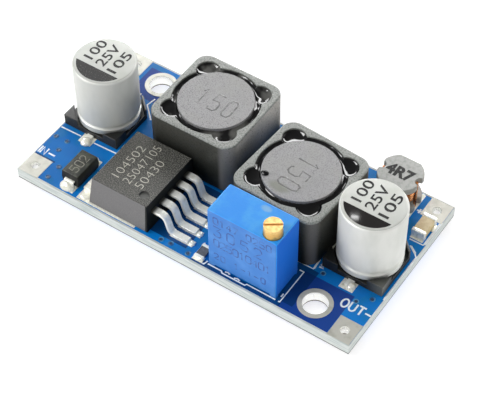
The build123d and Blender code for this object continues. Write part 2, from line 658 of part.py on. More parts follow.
# Adjuster
def adjuster_housing():
    """The moulded box: open below, stepped hole for the screw, pin for the wheel."""
    low = BOARD_THICKNESS + TRIM_STANDOFF
    inner_length = TRIM_LENGTH - 2 * TRIM_WALL
    inner_width = TRIM_WIDTH - 2 * TRIM_WALL
    box = slab(TRIM_LENGTH, TRIM_WIDTH, low, TRIM_TOP_Z, TRIM_X, TRIM_Y)
    outer_edges = box.edges().filter_by(Axis.Z) + box.faces().sort_by(Axis.Z)[-1].edges()
    box = fillet(outer_edges, TRIM_EDGE_ROUND)
    box -= slab(inner_length, inner_width, low, TRIM_CEILING_Z, TRIM_X, TRIM_Y)
    foot_x = (TRIM_LENGTH - TRIM_FOOT) / 2
    foot_y = (TRIM_WIDTH - TRIM_WALL) / 2
    for side_x in (-1, 1):
        for side_y in (-1, 1):
            foot = slab(
                TRIM_FOOT, TRIM_WALL, BOARD_THICKNESS, low,
                TRIM_X + side_x * foot_x, TRIM_Y + side_y * foot_y,
            )
            outer = foot.edges().filter_by(Axis.Z).sort_by_distance((TRIM_X, TRIM_Y, low))[-1]
            box += fillet(outer, TRIM_EDGE_ROUND)
    head_hole = SCREW_HEAD_RADIUS + SCREW_RUNNING_GAP
    neck_hole = SCREW_NECK_RADIUS + SCREW_RUNNING_GAP
    step_z = TRIM_TOP_Z - SCREW_HEAD_SUNK - 2 * SEAL_RING_WIRE
    box -= rod(head_hole, step_z, TRIM_TOP_Z, SCREW_X, SCREW_Y)
    box -= rod(neck_hole, TRIM_CEILING_Z, step_z, SCREW_X, SCREW_Y)
    pin_start = TRIM_FRONT_Y + TRIM_WALL
    pin_length = wheel_rear_y() - pin_start
    pin = Pos(WHEEL_X, pin_start + pin_length / 2, WHEEL_Z) * Rot(90, 0, 0)
    return box + pin * Cylinder(WHEEL_PIN_RADIUS, pin_length)


def wheel_rear_y():
    """The plane where the wheel's hub ends and the wiper sits."""
    return SCREW_Y + WHEEL_FACE / 2 + WHEEL_HUB_REAR


def screw_core():
    """The turned screw without its thread."""
    head_low = TRIM_TOP_Z - SCREW_HEAD_SUNK
    clip_low = TRIM_CEILING_Z - CLIP_THICKNESS - SCREW_RUNNING_GAP
    collar_low = clip_low - SCREW_COLLAR_HEIGHT
    pivot_high = TRIM_SEAL_TOP_Z + SCREW_RUNNING_GAP
    root = WORM_PITCH_RADIUS - WORM_DEDENDUM
    core = rod(SCREW_HEAD_RADIUS, head_low, TRIM_TOP_Z + SCREW_HEAD_PROUD)
    core += rod(SCREW_NECK_RADIUS, TRIM_CEILING_Z, head_low)
    core += rod(SCREW_CLIP_GROOVE_RADIUS, clip_low, TRIM_CEILING_Z)
    core += rod(SCREW_NECK_RADIUS, collar_low, clip_low)
    core += rod(root, pivot_high, collar_low)
    core += rod(SCREW_PIVOT_RADIUS, TRIM_SEAL_TOP_Z - SCREW_PIVOT_DEPTH, pivot_high)
    slot_top = TRIM_TOP_Z + SCREW_HEAD_PROUD
    slot = slab(2 * SCREW_HEAD_RADIUS, SCREW_SLOT_WIDTH, slot_top - SCREW_SLOT_DEPTH, slot_top)
    return core - Rot(0, 0, SCREW_SLOT_TURN) * slot


def worm_thread():
    """A right-hand thread whose crest points at a wheel gap when at rest."""
    root = WORM_PITCH_RADIUS - WORM_DEDENDUM
    tip = WORM_PITCH_RADIUS + WORM_ADDENDUM
    lean = math.tan(math.radians(WHEEL_FLANK_DEGREES))
    half = WORM_PITCH * WORM_THREAD_SHARE / 2
    start_z = WHEEL_Z - WORM_TURNS / 2 * WORM_PITCH
    helix = Helix(WORM_PITCH, WORM_TURNS * WORM_PITCH, root)
    plane = Plane(origin=helix @ 0, x_dir=(1, 0, 0), z_dir=helix % 0)
    sunk = -WORM_ADDENDUM / 2
    height = tip - root
    wide = half + WORM_DEDENDUM * lean
    narrow = half - WORM_ADDENDUM * lean
    profile = plane * Polygon(
        (sunk, -wide), (sunk, wide), (height, narrow), (height, -narrow), align=None
    )
    return Pos(0, 0, start_z) * sweep(profile, path=helix, is_frenet=True)


def adjuster_screw():
    """The whole screw: turned core and worm thread."""
    return Pos(SCREW_X, SCREW_Y, 0) * (screw_core() + worm_thread())


def adjuster_wheel():
    """The worm wheel: straight teeth on a hub that turns on the housing's pin."""
    lean = math.tan(math.radians(WHEEL_FLANK_DEGREES))
    half = WORM_PITCH * WHEEL_TOOTH_SHARE / 2
    base = half + WORM_DEDENDUM * lean
    crest = half - WORM_ADDENDUM * lean
    tooth = Polygon(
        (WHEEL_ROOT_RADIUS - WORM_DEDENDUM, -base),
        (WHEEL_TIP_RADIUS, -crest),
        (WHEEL_TIP_RADIUS, crest),
        (WHEEL_ROOT_RADIUS - WORM_DEDENDUM, base),
        align=None,
    )
    step = 360 / WHEEL_TEETH
    rim = Circle(WHEEL_ROOT_RADIUS)
    rim += [Rot(0, 0, (index + 0.5) * step) * tooth for index in range(WHEEL_TEETH)]
    hub_low = TRIM_FRONT_Y + TRIM_WALL + WHEEL_SIDE_GAP - SCREW_Y
    hub_high = wheel_rear_y() - SCREW_Y
    wheel = Pos(0, 0, -WHEEL_FACE / 2) * extrude(rim, WHEEL_FACE)
    wheel += rod(WHEEL_HUB_RADIUS, hub_low, hub_high)
    wheel -= rod(WHEEL_PIN_RADIUS + SCREW_RUNNING_GAP, hub_low, hub_high)
    return Pos(WHEEL_X, SCREW_Y, WHEEL_Z) * Rot(-90, 0, 0) * wheel


def adjuster_wiper():
    """The spring wiper: a ring on the hub with an arm bent back to the element."""
    rear = wheel_rear_y()
    mid = rear + WIPER_THICKNESS / 2
    ring = Pos(WHEEL_X, mid, WHEEL_Z) * Rot(90, 0, 0) * Cylinder(WIPER_RING_RADIUS, WIPER_THICKNESS)
    bore = Pos(WHEEL_X, mid, WHEEL_Z) * Rot(90, 0, 0) * Cylinder(
        WHEEL_PIN_RADIUS + SCREW_RUNNING_GAP, WIPER_THICKNESS
    )
    tip_y = ELEMENT_FRONT_Y - WIPER_TIP_GAP
    arm_points = [
        (WHEEL_X, mid, WHEEL_Z + WIPER_ARM_ROOT),
        (WHEEL_X, mid, WHEEL_Z + WIPER_ARM_KNEE),
        (WHEEL_X, tip_y, WHEEL_Z + WIPER_ARM_REACH),
    ]
    arm = ribbon(arm_points, WIPER_BEND_RADIUS, WIPER_ARM_WIDTH, WIPER_THICKNESS, (1, 0, 0))
    reach = WIPER_ARM_REACH + WIPER_THICKNESS
    behind = slab(
        TRIM_LENGTH, ELEMENT_THICKNESS, WHEEL_Z, WHEEL_Z + reach, WHEEL_X, tip_y + ELEMENT_THICKNESS / 2
    )
    return ring - bore + (arm - behind)


def adjuster_clip():
    """The retaining plate in the screw's groove, against the housing's ceiling."""
    low = TRIM_CEILING_Z - CLIP_THICKNESS
    plate = rod(CLIP_RADIUS, low, TRIM_CEILING_Z)
    inner = SCREW_CLIP_GROOVE_RADIUS + SCREW_RUNNING_GAP
    plate -= rod(inner, low, TRIM_CEILING_Z)
    mouth = slab(CLIP_RADIUS, 2 * inner, low, TRIM_CEILING_Z, -CLIP_RADIUS / 2 - inner / 2, 0)
    return Pos(SCREW_X, SCREW_Y, 0) * (plate - mouth)


def adjuster_seal_ring():
    """The rubber ring between the screw's head and the step in its hole."""
    centre_z = TRIM_TOP_Z - SCREW_HEAD_SUNK - SEAL_RING_WIRE
    radius = SCREW_HEAD_RADIUS - SEAL_RING_WIRE - SCREW_RUNNING_GAP
    return Pos(SCREW_X, SCREW_Y, centre_z) * Torus(radius, SEAL_RING_WIRE - SEAL_RING_CLEARANCE)


def adjuster_element():
    """The ceramic plate with the resistance track, on the back wall."""
    length = TRIM_LENGTH - 2 * TRIM_WALL - 2 * ELEMENT_SIDE_GAP
    y = ELEMENT_FRONT_Y + ELEMENT_THICKNESS / 2
    return slab(length, ELEMENT_THICKNESS, TRIM_SEAL_TOP_Z, TRIM_CEILING_Z, TRIM_X, y)


def adjuster_pins():
    """Three wires: down through the board, and up against the element."""
    mid_seal = (TRIM_SEAL_LOW_Z + TRIM_SEAL_TOP_Z) / 2
    contact_y = ELEMENT_FRONT_Y - PIN_RADIUS
    pins = []
    for x, y in pin_places():
        path = Polyline(
            (x, y, -PIN_BELOW_BOARD),
            (x, y, mid_seal),
            (x, contact_y, mid_seal),
            (x, contact_y, TRIM_SEAL_TOP_Z + PIN_UP_ELEMENT),
        )
        start = Plane(origin=path @ 0, z_dir=path % 0)
        pins.append(sweep(start * Circle(PIN_RADIUS), path=path, transition=Transition.RIGHT))
    return group(pins)


def adjuster_base_seal():
    """The cast resin that closes the housing round the pins."""
    inner_length = TRIM_LENGTH - 2 * TRIM_WALL
    inner_width = TRIM_WIDTH - 2 * TRIM_WALL
    seal = slab(inner_length, inner_width, TRIM_SEAL_LOW_Z, TRIM_SEAL_TOP_Z, TRIM_X, TRIM_Y)
    pivot_low = TRIM_SEAL_TOP_Z - SCREW_PIVOT_DEPTH - SCREW_RUNNING_GAP
    pivot_hole = SCREW_PIVOT_RADIUS + SCREW_RUNNING_GAP
    seal -= rod(pivot_hole, pivot_low, TRIM_SEAL_TOP_Z, SCREW_X, SCREW_Y)
    for pin in adjuster_pins().solids():
        seal -= pin
    return seal


def adjuster_solder():
    """The solder that fills each pin hole and rises in a cone below the board."""
    joints = []
    for x, y in pin_places():
        joint = rod(PIN_HOLE_RADIUS, -COPPER, LAND_TOP)
        cone = Cone(PIN_PAD_RADIUS, SOLDER_TIP_RADIUS, SOLDER_CONE_HEIGHT)
        joint += Pos(0, 0, -COPPER - SOLDER_CONE_HEIGHT / 2) * Rot(180, 0, 0) * cone
        joint -= rod(PIN_RADIUS, -COPPER - SOLDER_CONE_HEIGHT, LAND_TOP)
        joints.append(Pos(x, y, 0) * joint)
    return group(joints)


# Copper lands of the surface-mounted parts
def component_lands():
    """Every tinned area that a surface-mounted part is soldered to."""
    lands = regulator_lands()
    lands += inductor_lands(INDUCTOR_1_X, INDUCTOR_1_Y)
    lands += inductor_lands(INDUCTOR_2_X, INDUCTOR_2_Y)
    for x, y in ((INPUT_CAP_X, INPUT_CAP_Y), (OUTPUT_CAP_X, OUTPUT_CAP_Y)):
        inner = CAP_LEAD_PITCH / 2
        outer = CAP_BASE_SIDE / 2 + CAP_LEAD_REACH + CAP_LAND_MARGIN
        width = CAP_LEAD_WIDTH + 2 * CAP_LAND_MARGIN
        for side in (-1, 1):
            lands.append(land(width, outer - inner, x, y + side * (inner + outer) / 2))
    tab_end = DIODE_LENGTH / 2 + DIODE_TAB_STANDOFF + LAND_MARGIN_END
    tab_inner = DIODE_LENGTH / 2 + DIODE_TAB_STANDOFF - DIODE_TAB_FOOT
    for side in (-1, 1):
        middle = DIODE_Y + side * (tab_end + tab_inner) / 2
        lands.append(
            land(DIODE_TAB_WIDTH + 2 * LAND_MARGIN_SIDE, tab_end - tab_inner, DIODE_X, middle)
        )
    for side in (-1, 1):
        x = FILTER_X + side * (FILTER_FLAT_X / 2 - FILTER_PAD_LENGTH / 2)
        lands.append(land(FILTER_PAD_LENGTH, FILTER_FLAT_Y - 2 * LAND_MARGIN_SIDE, x, FILTER_Y))
    chips = (
        (CHIP_CAP_LENGTH, CHIP_CAP_WIDTH, CHIP_CAP_END, CHIP_CAP_X, CHIP_CAP_Y),
        (CHIP_RES_LENGTH, CHIP_RES_WIDTH, CHIP_RES_END, CHIP_RES_X, CHIP_RES_Y),
    )
    for length, width, end, x, y in chips:
        for side in (-1, 1):
            middle = y + side * (length / 2 - end / 2)
            lands.append(land(width, end + 2 * LAND_MARGIN_SIDE, x, middle))
    return group(lands)


def all_nodes():
    """Every named piece of the module."""
    nodes = {
        "circuit_board": circuit_board(),
        "wire_pads": wire_pads(),
        "mounting_rings": mounting_rings(),
        "adjuster_pads": adjuster_pads(),
        "component_lands": component_lands(),
        "regulator_body": regulator_body(),
        "regulator_tab": regulator_tab(),
        "regulator_leads": regulator_leads(),
        "diode_body": diode_body(),
        "diode_tabs": diode_tabs(),
        "filter_inductor_drum": filter_drum(),
        "filter_inductor_winding": filter_winding(),
        "filter_inductor_pads": filter_pads(),
        "adjuster_housing": adjuster_housing(),
        "adjuster_screw": adjuster_screw(),
        "adjuster_wheel": adjuster_wheel(),
        "adjuster_wiper": adjuster_wiper(),
        "adjuster_clip": adjuster_clip(),
        "adjuster_seal_ring": adjuster_seal_ring(),
        "adjuster_element": adjuster_element(),
        "adjuster_pins": adjuster_pins(),
        "adjuster_base_seal": adjuster_base_seal(),
        "adjuster_solder": adjuster_solder(),
    }
    for name, x, y in (
        ("input_capacitor", INPUT_CAP_X, INPUT_CAP_Y),
        ("output_capacitor", OUTPUT_CAP_X, OUTPUT_CAP_Y),
    ):
        nodes[name + "_can"] = capacitor_can(x, y)
        nodes[name + "_base"] = capacitor_base(x, y)
        nodes[name + "_leads"] = capacitor_leads(x, y)
    for name, place in (
        ("inductor_1", inductor_place(INDUCTOR_1_X, INDUCTOR_1_Y, 0)),
        ("inductor_2", inductor_place(INDUCTOR_2_X, INDUCTOR_2_Y, INDUCTOR_2_TURN)),
    ):
        nodes[name + "_shield"] = inductor_shield(place)
        nodes[name + "_drum"] = inductor_drum(place)
        nodes[name + "_winding"] = inductor_winding(place)
        nodes[name + "_glue"] = inductor_glue(place)
        nodes[name + "_feet"] = inductor_feet(place)
    for name, length, width, height, end, x, y in (
        ("chip_capacitor", CHIP_CAP_LENGTH, CHIP_CAP_WIDTH, CHIP_CAP_HEIGHT, CHIP_CAP_END,
         CHIP_CAP_X, CHIP_CAP_Y),
        ("chip_resistor", CHIP_RES_LENGTH, CHIP_RES_WIDTH, CHIP_RES_HEIGHT, CHIP_RES_END,
         CHIP_RES_X, CHIP_RES_Y),
    ):
        nodes[name + "_body"] = chip_body(length, width, height, x, y)
        nodes[name + "_ends"] = chip_ends(length, width, height, end, x, y)
    return nodes


os.makedirs("parts", exist_ok=True)
for node_name, shape in all_nodes().items():
    export_step(shape, f"parts/{node_name}.step")
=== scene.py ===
import bmesh
import bpy
import math
from mathutils import Matrix, Vector, noise


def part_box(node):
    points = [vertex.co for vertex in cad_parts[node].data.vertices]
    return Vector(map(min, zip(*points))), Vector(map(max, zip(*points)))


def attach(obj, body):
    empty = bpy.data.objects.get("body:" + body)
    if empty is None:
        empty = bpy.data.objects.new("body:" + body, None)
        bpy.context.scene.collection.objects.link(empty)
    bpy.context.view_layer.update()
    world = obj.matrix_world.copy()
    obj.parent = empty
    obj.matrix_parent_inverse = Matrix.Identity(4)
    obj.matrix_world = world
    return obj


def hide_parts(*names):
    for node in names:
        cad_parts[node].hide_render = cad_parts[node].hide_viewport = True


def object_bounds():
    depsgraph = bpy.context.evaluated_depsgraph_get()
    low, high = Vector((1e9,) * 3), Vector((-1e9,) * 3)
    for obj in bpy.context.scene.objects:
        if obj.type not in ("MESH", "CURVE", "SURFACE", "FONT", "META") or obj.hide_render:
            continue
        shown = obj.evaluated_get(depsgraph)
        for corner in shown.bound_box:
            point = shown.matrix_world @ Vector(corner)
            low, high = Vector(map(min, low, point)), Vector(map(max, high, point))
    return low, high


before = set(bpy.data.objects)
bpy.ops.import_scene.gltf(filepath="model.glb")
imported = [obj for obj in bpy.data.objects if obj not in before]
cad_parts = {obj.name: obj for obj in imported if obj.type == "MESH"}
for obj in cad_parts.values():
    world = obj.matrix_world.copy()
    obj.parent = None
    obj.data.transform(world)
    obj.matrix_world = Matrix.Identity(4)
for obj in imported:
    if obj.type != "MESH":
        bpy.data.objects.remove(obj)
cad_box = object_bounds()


# The circuit board: blue solder mask over glass-fibre laminate, sawn pale edges.
# The mask is brighter where copper lies under it, and navy round the mounting
# holes, where the copper is etched away. It stops a hair before the sawn edge.
MM = 0.001
FACE_DEPTH = 0.05
WELD_DISTANCE = 0.0005
FLAT_ANGLE = 1.0
MERGE_DISTANCE = 0.0001


def seen(red, green, blue):
    """A colour as it is seen, 0 to 255, turned into the linear value that light works with."""
    parts = [value / 255 for value in (red, green, blue)]
    linear = [p / 12.92 if p <= 0.04045 else ((p + 0.055) / 1.055) ** 2.4 for p in parts]
    return (*linear, 1.0)


class Wire:
    """A value inside a finish. Arithmetic and comparisons on it add Math nodes."""

    def __init__(self, finish, socket):
        self.finish = finish
        self.socket = socket

    def math(self, operation, *others):
        values = dict(enumerate((self,) + others))
        return self.finish.node("ShaderNodeMath", {"operation": operation}, values)

    def __add__(self, other):
        return self.math("ADD", other)

    def __sub__(self, other):
        return self.math("SUBTRACT", other)

    def __rsub__(self, other):
        return self * -1 + other

    def __mul__(self, other):
        return self.math("MULTIPLY", other)

    def __gt__(self, other):
        return self.math("GREATER_THAN", other)

    def __lt__(self, other):
        return self.math("LESS_THAN", other)

    def __and__(self, other):
        return self.math("MINIMUM", other)

    def __or__(self, other):
        return self.math("MAXIMUM", other)

    def __abs__(self):
        return self.math("ABSOLUTE")

    def ramp(self, low, high):
        """0 below the low value, 1 above the high one, smooth between."""
        return self.finish.node(
            "ShaderNodeMapRange", {"interpolation_type": "SMOOTHSTEP"},
            {"Value": self, "From Min": low, "From Max": high},
        )

    __radd__ = __add__
    __rmul__ = __mul__


class Finish:
    """One surface finish, with its patterns laid out in the part's own millimetres."""

    def __init__(self, name, colour, roughness, **sockets):
        self.material = bpy.data.materials.new(name)
        self.material.use_nodes = True
        self.tree = self.material.node_tree
        self.shader = self.tree.nodes["Principled BSDF"]
        self.set("Base Color", colour)
        self.set("Roughness", roughness)
        for socket, value in sockets.items():
            self.set(socket.replace("_", " "), value)
        spot = self.node("ShaderNodeTexCoord", out="Object")
        in_millimetres = {"Vector": spot, "Scale": 1 / MM}
        self.spot = self.node("ShaderNodeVectorMath", {"operation": "SCALE"}, in_millimetres)
        axes = [
            self.node("ShaderNodeSeparateXYZ", {}, {"Vector": self.spot}, out=axis) for axis in range(3)
        ]
        self.x, self.y, self.z = axes

    def node(self, kind, settings=None, sockets=None, out=0):
        """Adds a node: its settings first, then the values or links of its sockets."""
        made = self.tree.nodes.new(kind)
        for name, value in (settings or {}).items():
            setattr(made, name, value)
        for name, value in (sockets or {}).items():
            if isinstance(value, Wire):
                self.tree.links.new(value.socket, made.inputs[name])
            else:
                made.inputs[name].default_value = value
        return Wire(self, made.outputs[out])

    def set(self, socket, value):
        """Gives one of the shader's sockets a value or a link."""
        if isinstance(value, Wire):
            self.tree.links.new(value.socket, self.shader.inputs[socket])
        else:
            self.shader.inputs[socket].default_value = value

    def blend(self, colour, other, share):
        """The first colour, giving way to the other by its share."""
        return self.node("ShaderNodeMix", {"data_type": "RGBA"}, {0: share, 6: colour, 7: other}, out=2)

    def paint(self, colour, other, share):
        """Colours the surface with such a blend."""
        self.set("Base Color", self.blend(colour, other, share))

    def grain(self, size, detail=2.0, stretch=(1.0, 1.0, 1.0)):
        """A cloudy pattern with blots of about that size."""
        spot = self.node("ShaderNodeVectorMath", {"operation": "DIVIDE"}, {0: self.spot, 1: stretch})
        return self.node("ShaderNodeTexNoise", {}, {"Vector": spot, "Scale": 1 / size, "Detail": detail})

    def box(self, left, right, front, back):
        """1 inside a rectangle of the board, seen from above."""
        return (self.x > left) & (self.x < right) & (self.y > front) & (self.y < back)

    def on_top(self, node):
        """1 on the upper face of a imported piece."""
        return self.z > size_of(node)[1].z - FACE_DEPTH

    def relief(self, height, depth):
        """Lets a pattern stand up from the surface by that depth."""
        bump = self.node("ShaderNodeBump", {}, {"Height": height, "Distance": depth * MM, "Strength": 1.0})
        self.set("Normal", bump)


def dress(node, finish, edge=0.0, degrees=30.0):
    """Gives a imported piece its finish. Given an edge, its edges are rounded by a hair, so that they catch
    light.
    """
    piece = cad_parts[node]
    piece.data.materials.clear()
    piece.data.materials.append(finish.material)
    if edge:
        if "custom_normal" in piece.data.attributes:
            piece.data.attributes.remove(piece.data.attributes["custom_normal"])
        piece.data.shade_smooth()
        weld = piece.modifiers.new("weld", "WELD")
        weld.merge_threshold = WELD_DISTANCE * MM
        flatten = piece.modifiers.new("flatten", "DECIMATE")
        flatten.decimate_type = "DISSOLVE"
        flatten.angle_limit = math.radians(FLAT_ANGLE)
        bevel = piece.modifiers.new("edge", "BEVEL")
        bevel.width = edge * MM
        bevel.segments = 2
        bevel.limit_method = "ANGLE"
        bevel.angle_limit = math.radians(degrees)
        even = piece.modifiers.new("even", "WEIGHTED_NORMAL")
        even.keep_sharp = True
    return piece


def size_of(node):
    """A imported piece's lowest and highest corner, in millimetres."""
    low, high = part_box(node)
    return low / MM, high / MM


def add_piece(name, mesh, finish, body="module", degrees=35.0, stands_for=()):
    """Puts a mesh made in millimetres on the part, with its finish and its body."""
    mesh.transform(Matrix.Scale(MM, 4))
    mesh.materials.clear()
    mesh.materials.append(finish.material)
    mesh.shade_smooth()
    mesh.set_sharp_from_angle(angle=math.radians(degrees))
    piece = bpy.data.objects.new(name, mesh)
    bpy.context.scene.collection.objects.link(piece)
    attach(piece, body)
    if stands_for:
        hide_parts(*stands_for)
    return piece


board_low, board_high = size_of("circuit_board")
BOARD_TOP = board_high.z
EDGE_BARE = 0.12
OUTPUT_EDGE_BARE = 0.08
FRONT_BARE = 0.24
MASK_OVER_COPPER = seen(12, 128, 214)
MASK_SHADE = seen(8, 104, 188)
MASK_TEAL = seen(22, 122, 176)
MASK_OVER_LAMINATE = seen(26, 60, 144)
MASK_DEEP_AND_SHADE = seen(8, 52, 104)
LAMINATE = seen(214, 219, 216)
CONTACT_SHADOW_BAND = 0.2
MASK_THICKNESS = 0.03
NEAR_HOLES = [(14.45, 21.35, -12.5, -6.05), (-20.9, -14.6, 6.2, 11.4)]
# Dark navy patches of mask; the one under the regulator's leads is painted shadow.
DEEP_AND_SHADED_PATCHES = [
    (2.0, 14.6, -12.4, -11.4), (-4.9, 0.6, -11.2, -1.6),
    (13.2, 16.0, -11.4, -5.4), (-24.4, -21.2, -9.2, -8.95),
]


def any_box(finish, boxes):
    """1 inside any of the rectangles."""
    inside = finish.box(*boxes[0])
    for place in boxes[1:]:
        inside = inside | finish.box(*place)
    return inside


board = Finish("solder mask on laminate", LAMINATE, 0.35, Specular_IOR_Level=0.15)
skin = (board.z > BOARD_TOP - MASK_THICKNESS) | (board.z < MASK_THICKNESS)
masked = (board.x > board_low.x + EDGE_BARE) & (board.x < board_high.x - OUTPUT_EDGE_BARE)
masked = masked & (abs(board.y) < board_high.y - FRONT_BARE) & skin
over_copper = board.blend(MASK_OVER_COPPER, MASK_SHADE, board.grain(5.0).ramp(0.35, 0.7) * 0.6)
over_copper = board.blend(over_copper, MASK_TEAL, board.grain(2.4).ramp(0.5, 0.66) * 0.5)
mask = board.blend(over_copper, MASK_OVER_LAMINATE, any_box(board, NEAR_HOLES) * 0.92)
# Darkens the mask in those patches, in part as painted shadow.
mask = board.blend(mask, MASK_DEEP_AND_SHADE, any_box(board, DEEP_AND_SHADED_PATCHES) * 0.85)
weave = board.grain(0.5, detail=4.0, stretch=(6.0, 6.0, 0.5))
laminate = board.blend(LAMINATE, seen(186, 196, 194), weave.ramp(0.4, 0.7))
# Painted shadow: the lowest band of the sawn edge is darkened, as the contact shadow under the board.
laminate = board.blend(laminate, seen(104, 108, 104), (board.z < CONTACT_SHADOW_BAND) * 0.85)
board.paint(laminate, mask, masked)
board.set("Roughness", 0.5 - masked * 0.25)
board.relief(board.grain(0.35, detail=3.0), 0.012)
dress("circuit_board", board)


# The white legend, printed on the mask: outlines of the parts, terminal marks
# and signs. Each line is a thin bead of ink along its run.
STROKES = {
    "0": [[(.12, 0), (0, .16), (0, .84), (.12, 1), (.48, 1), (.6, .84), (.6, .16), (.48, 0), (.12, 0)]],
    "1": [[(.1, .8), (.3, 1), (.3, 0)]],
    "2": [[(0, .8), (.12, 1), (.48, 1), (.6, .8), (.6, .6), (0, 0), (.6, 0)]],
    "3": [[(0, 1), (.6, 1), (.25, .6), (.48, .6), (.6, .45), (.6, .15), (.48, 0), (.12, 0), (0, .15)]],
    "4": [[(.45, 0), (.45, 1), (0, .3), (.6, .3)]],
    "5": [[(.6, 1), (.05, 1), (0, .55), (.45, .6), (.6, .45), (.6, .15), (.45, 0), (.1, 0), (0, .12)]],
    "7": [[(0, 1), (.6, 1), (.2, 0)]],
    "I": [[(.3, 0), (.3, 1)]],
    "N": [[(0, 0), (0, 1), (.6, 0), (.6, 1)]],
    "O": [[(.3 + .33 * math.cos(turn * math.pi / 8), .5 + .5 * math.sin(turn * math.pi / 8))
           for turn in range(17)]],
    "U": [[(0, 1), (0, .25), (.14, .04), (.3, 0), (.46, .04), (.6, .25), (.6, 1)]],
    "T": [[(-.05, 1), (.65, 1)], [(.3, 1), (.3, 0)]],
    "+": [[(0, .5), (.6, .5)], [(.3, .2), (.3, .8)]],
    "-": [[(-.05, .5), (.65, .5)]],
    " ": [],
}


def written(text, height, pitch, start=(0.0, 0.0), turn=0.0, slim=1.0):
    """The strokes of a row of characters that starts at a point, turned about it."""
    cos, sin = math.cos(math.radians(turn)), math.sin(math.radians(turn))
    rows = []
    for index, character in enumerate(text):
        for stroke in STROKES[character]:
            flat = [(index * pitch + u * height * slim, v * height) for u, v in stroke]
            rows.append([(start[0] + cos * u - sin * v, start[1] + sin * u + cos * v) for u, v in flat])
    return rows


def curve_mesh(name, curve):
    """The mesh that a curve or a text makes. The curve itself goes."""
    holder = bpy.data.objects.new(name, curve)
    bpy.context.scene.collection.objects.link(holder)
    bpy.context.view_layer.update()
    mesh = bpy.data.meshes.new_from_object(holder.evaluated_get(bpy.context.evaluated_depsgraph_get()))
    bpy.data.objects.remove(holder)
    bpy.data.curves.remove(curve)
    return mesh


def bead_lines(name, rows, width, thickness, place=Matrix.Identity(4)):
    """A mesh of flattened round beads along rows of points in a plane."""
    curve = bpy.data.curves.new(name, "CURVE")
    curve.dimensions = "3D"
    curve.bevel_depth = width / 2
    curve.bevel_resolution = 1
    curve.use_fill_caps = True
    for row in rows:
        spline = curve.splines.new("POLY")
        spline.points.add(len(row) - 1)
        for point, (u, v) in zip(spline.points, row):
            point.co = (u, v, 0, 1)
    mesh = curve_mesh(name, curve)
    mesh.transform(Matrix.Diagonal((1, 1, thickness / width, 1)))
    mesh.transform(place)
    return mesh


ink = Finish("legend ink", seen(236, 244, 250), 0.5)
ink.paint(seen(240, 247, 252), seen(190, 214, 235), ink.grain(0.5).ramp(0.55, 0.8) * 0.6)
LEGEND_LINES = [
    [(-24.3, -3.75), (-21.2, -3.66)],
    [(-19.1, -3.7), (-15.6, -3.55)],
    [(-15.4, 3.55), (-17.4, 5.5), (-17.15, 6.9)],
    [(12.6, -5.28), (15.05, -5.26), (14.87, -3.1), (14.98, -0.2)],
    [(15.12, -5.2), (15.0, -3.6)],
    [(15.5, -4.6), (16.1, -4.6), (15.5, -4.46), (16.0, -4.46), (15.5, -4.3), (15.88, -4.3), (15.5, -4.14)],
    [(15.5, -4.14), (15.78, -4.14), (15.5, -3.98), (15.66, -3.98), (15.5, -3.75)],
    [(22.9, 4.25), (23.95, 3.5), (24.4, 3.05), (24.4, -4.6)],
    [(23.05, 4.25), (24.05, 3.55)],
    [(19.0, -5.6), (20.1, -5.7)],
    [(22.3, 5.12), (24.15, 5.15), (24.35, 5.5), (24.38, 9.4), (23.6, 9.5)],
    [(24.2, 5.3), (24.2, 9.3)],
    [(20.2, 12.3), (20.35, 9.9)],
    [(4.15, -11.62), (6.1, -11.62), (6.35, -11.85), (9.6, -11.85), (9.75, -11.6), (13.8, -11.6)],
    [(14.2, -11.6), (14.4, -11.6), (14.4, -6.3), (13.8, -6.3)],
    [(14.13, -10.9), (14.13, -10.35)],
    [(3.88, -11.3), (3.75, -11.92), (2.05, -11.92), (2.05, -9.2)],
    [(6.55, -11.5), (6.9, -11.38), (7.25, -11.52)],
    [(7.95, -11.68), (8.35, -11.52), (8.75, -11.66)],
]
LEGEND_SIGNS = [
    ("OUT", 1.25, 1.08, (20.5, -8.08)),
    ("-", 1.1, 1.0, (23.68, -8.0)),
    ("IN", 1.15, 0.62, (-24.5, -8.8)),
    ("-", 1.4, 1.0, (-22.75, -8.95)),
    ("+", 1.15, 1.0, (20.8, 9.0)),
]
SILK_WIDTH = 0.2
SIGN_WIDTH = 0.24
INK_THICKNESS = 0.05
level = Matrix.Translation((0, 0, BOARD_TOP))
signs = [stroke for sign in LEGEND_SIGNS for stroke in written(*sign)]
legend_beads = [
    bead_lines("outlines", LEGEND_LINES, SILK_WIDTH, INK_THICKNESS, level),
    bead_lines("signs", signs, SIGN_WIDTH, INK_THICKNESS, level),
]


def finished(name, shape):
    """The mesh that a bmesh has become."""
    mesh = bpy.data.meshes.new(name)
    shape.to_mesh(mesh)
    shape.free()
    return mesh


def join_meshes(name, meshes):
    """Several meshes as one."""
    shape = bmesh.new()
    for mesh in meshes:
        shape.from_mesh(mesh)
        bpy.data.meshes.remove(mesh)
    return finished(name, shape)


add_piece("legend", join_meshes("legend", legend_beads), ink)


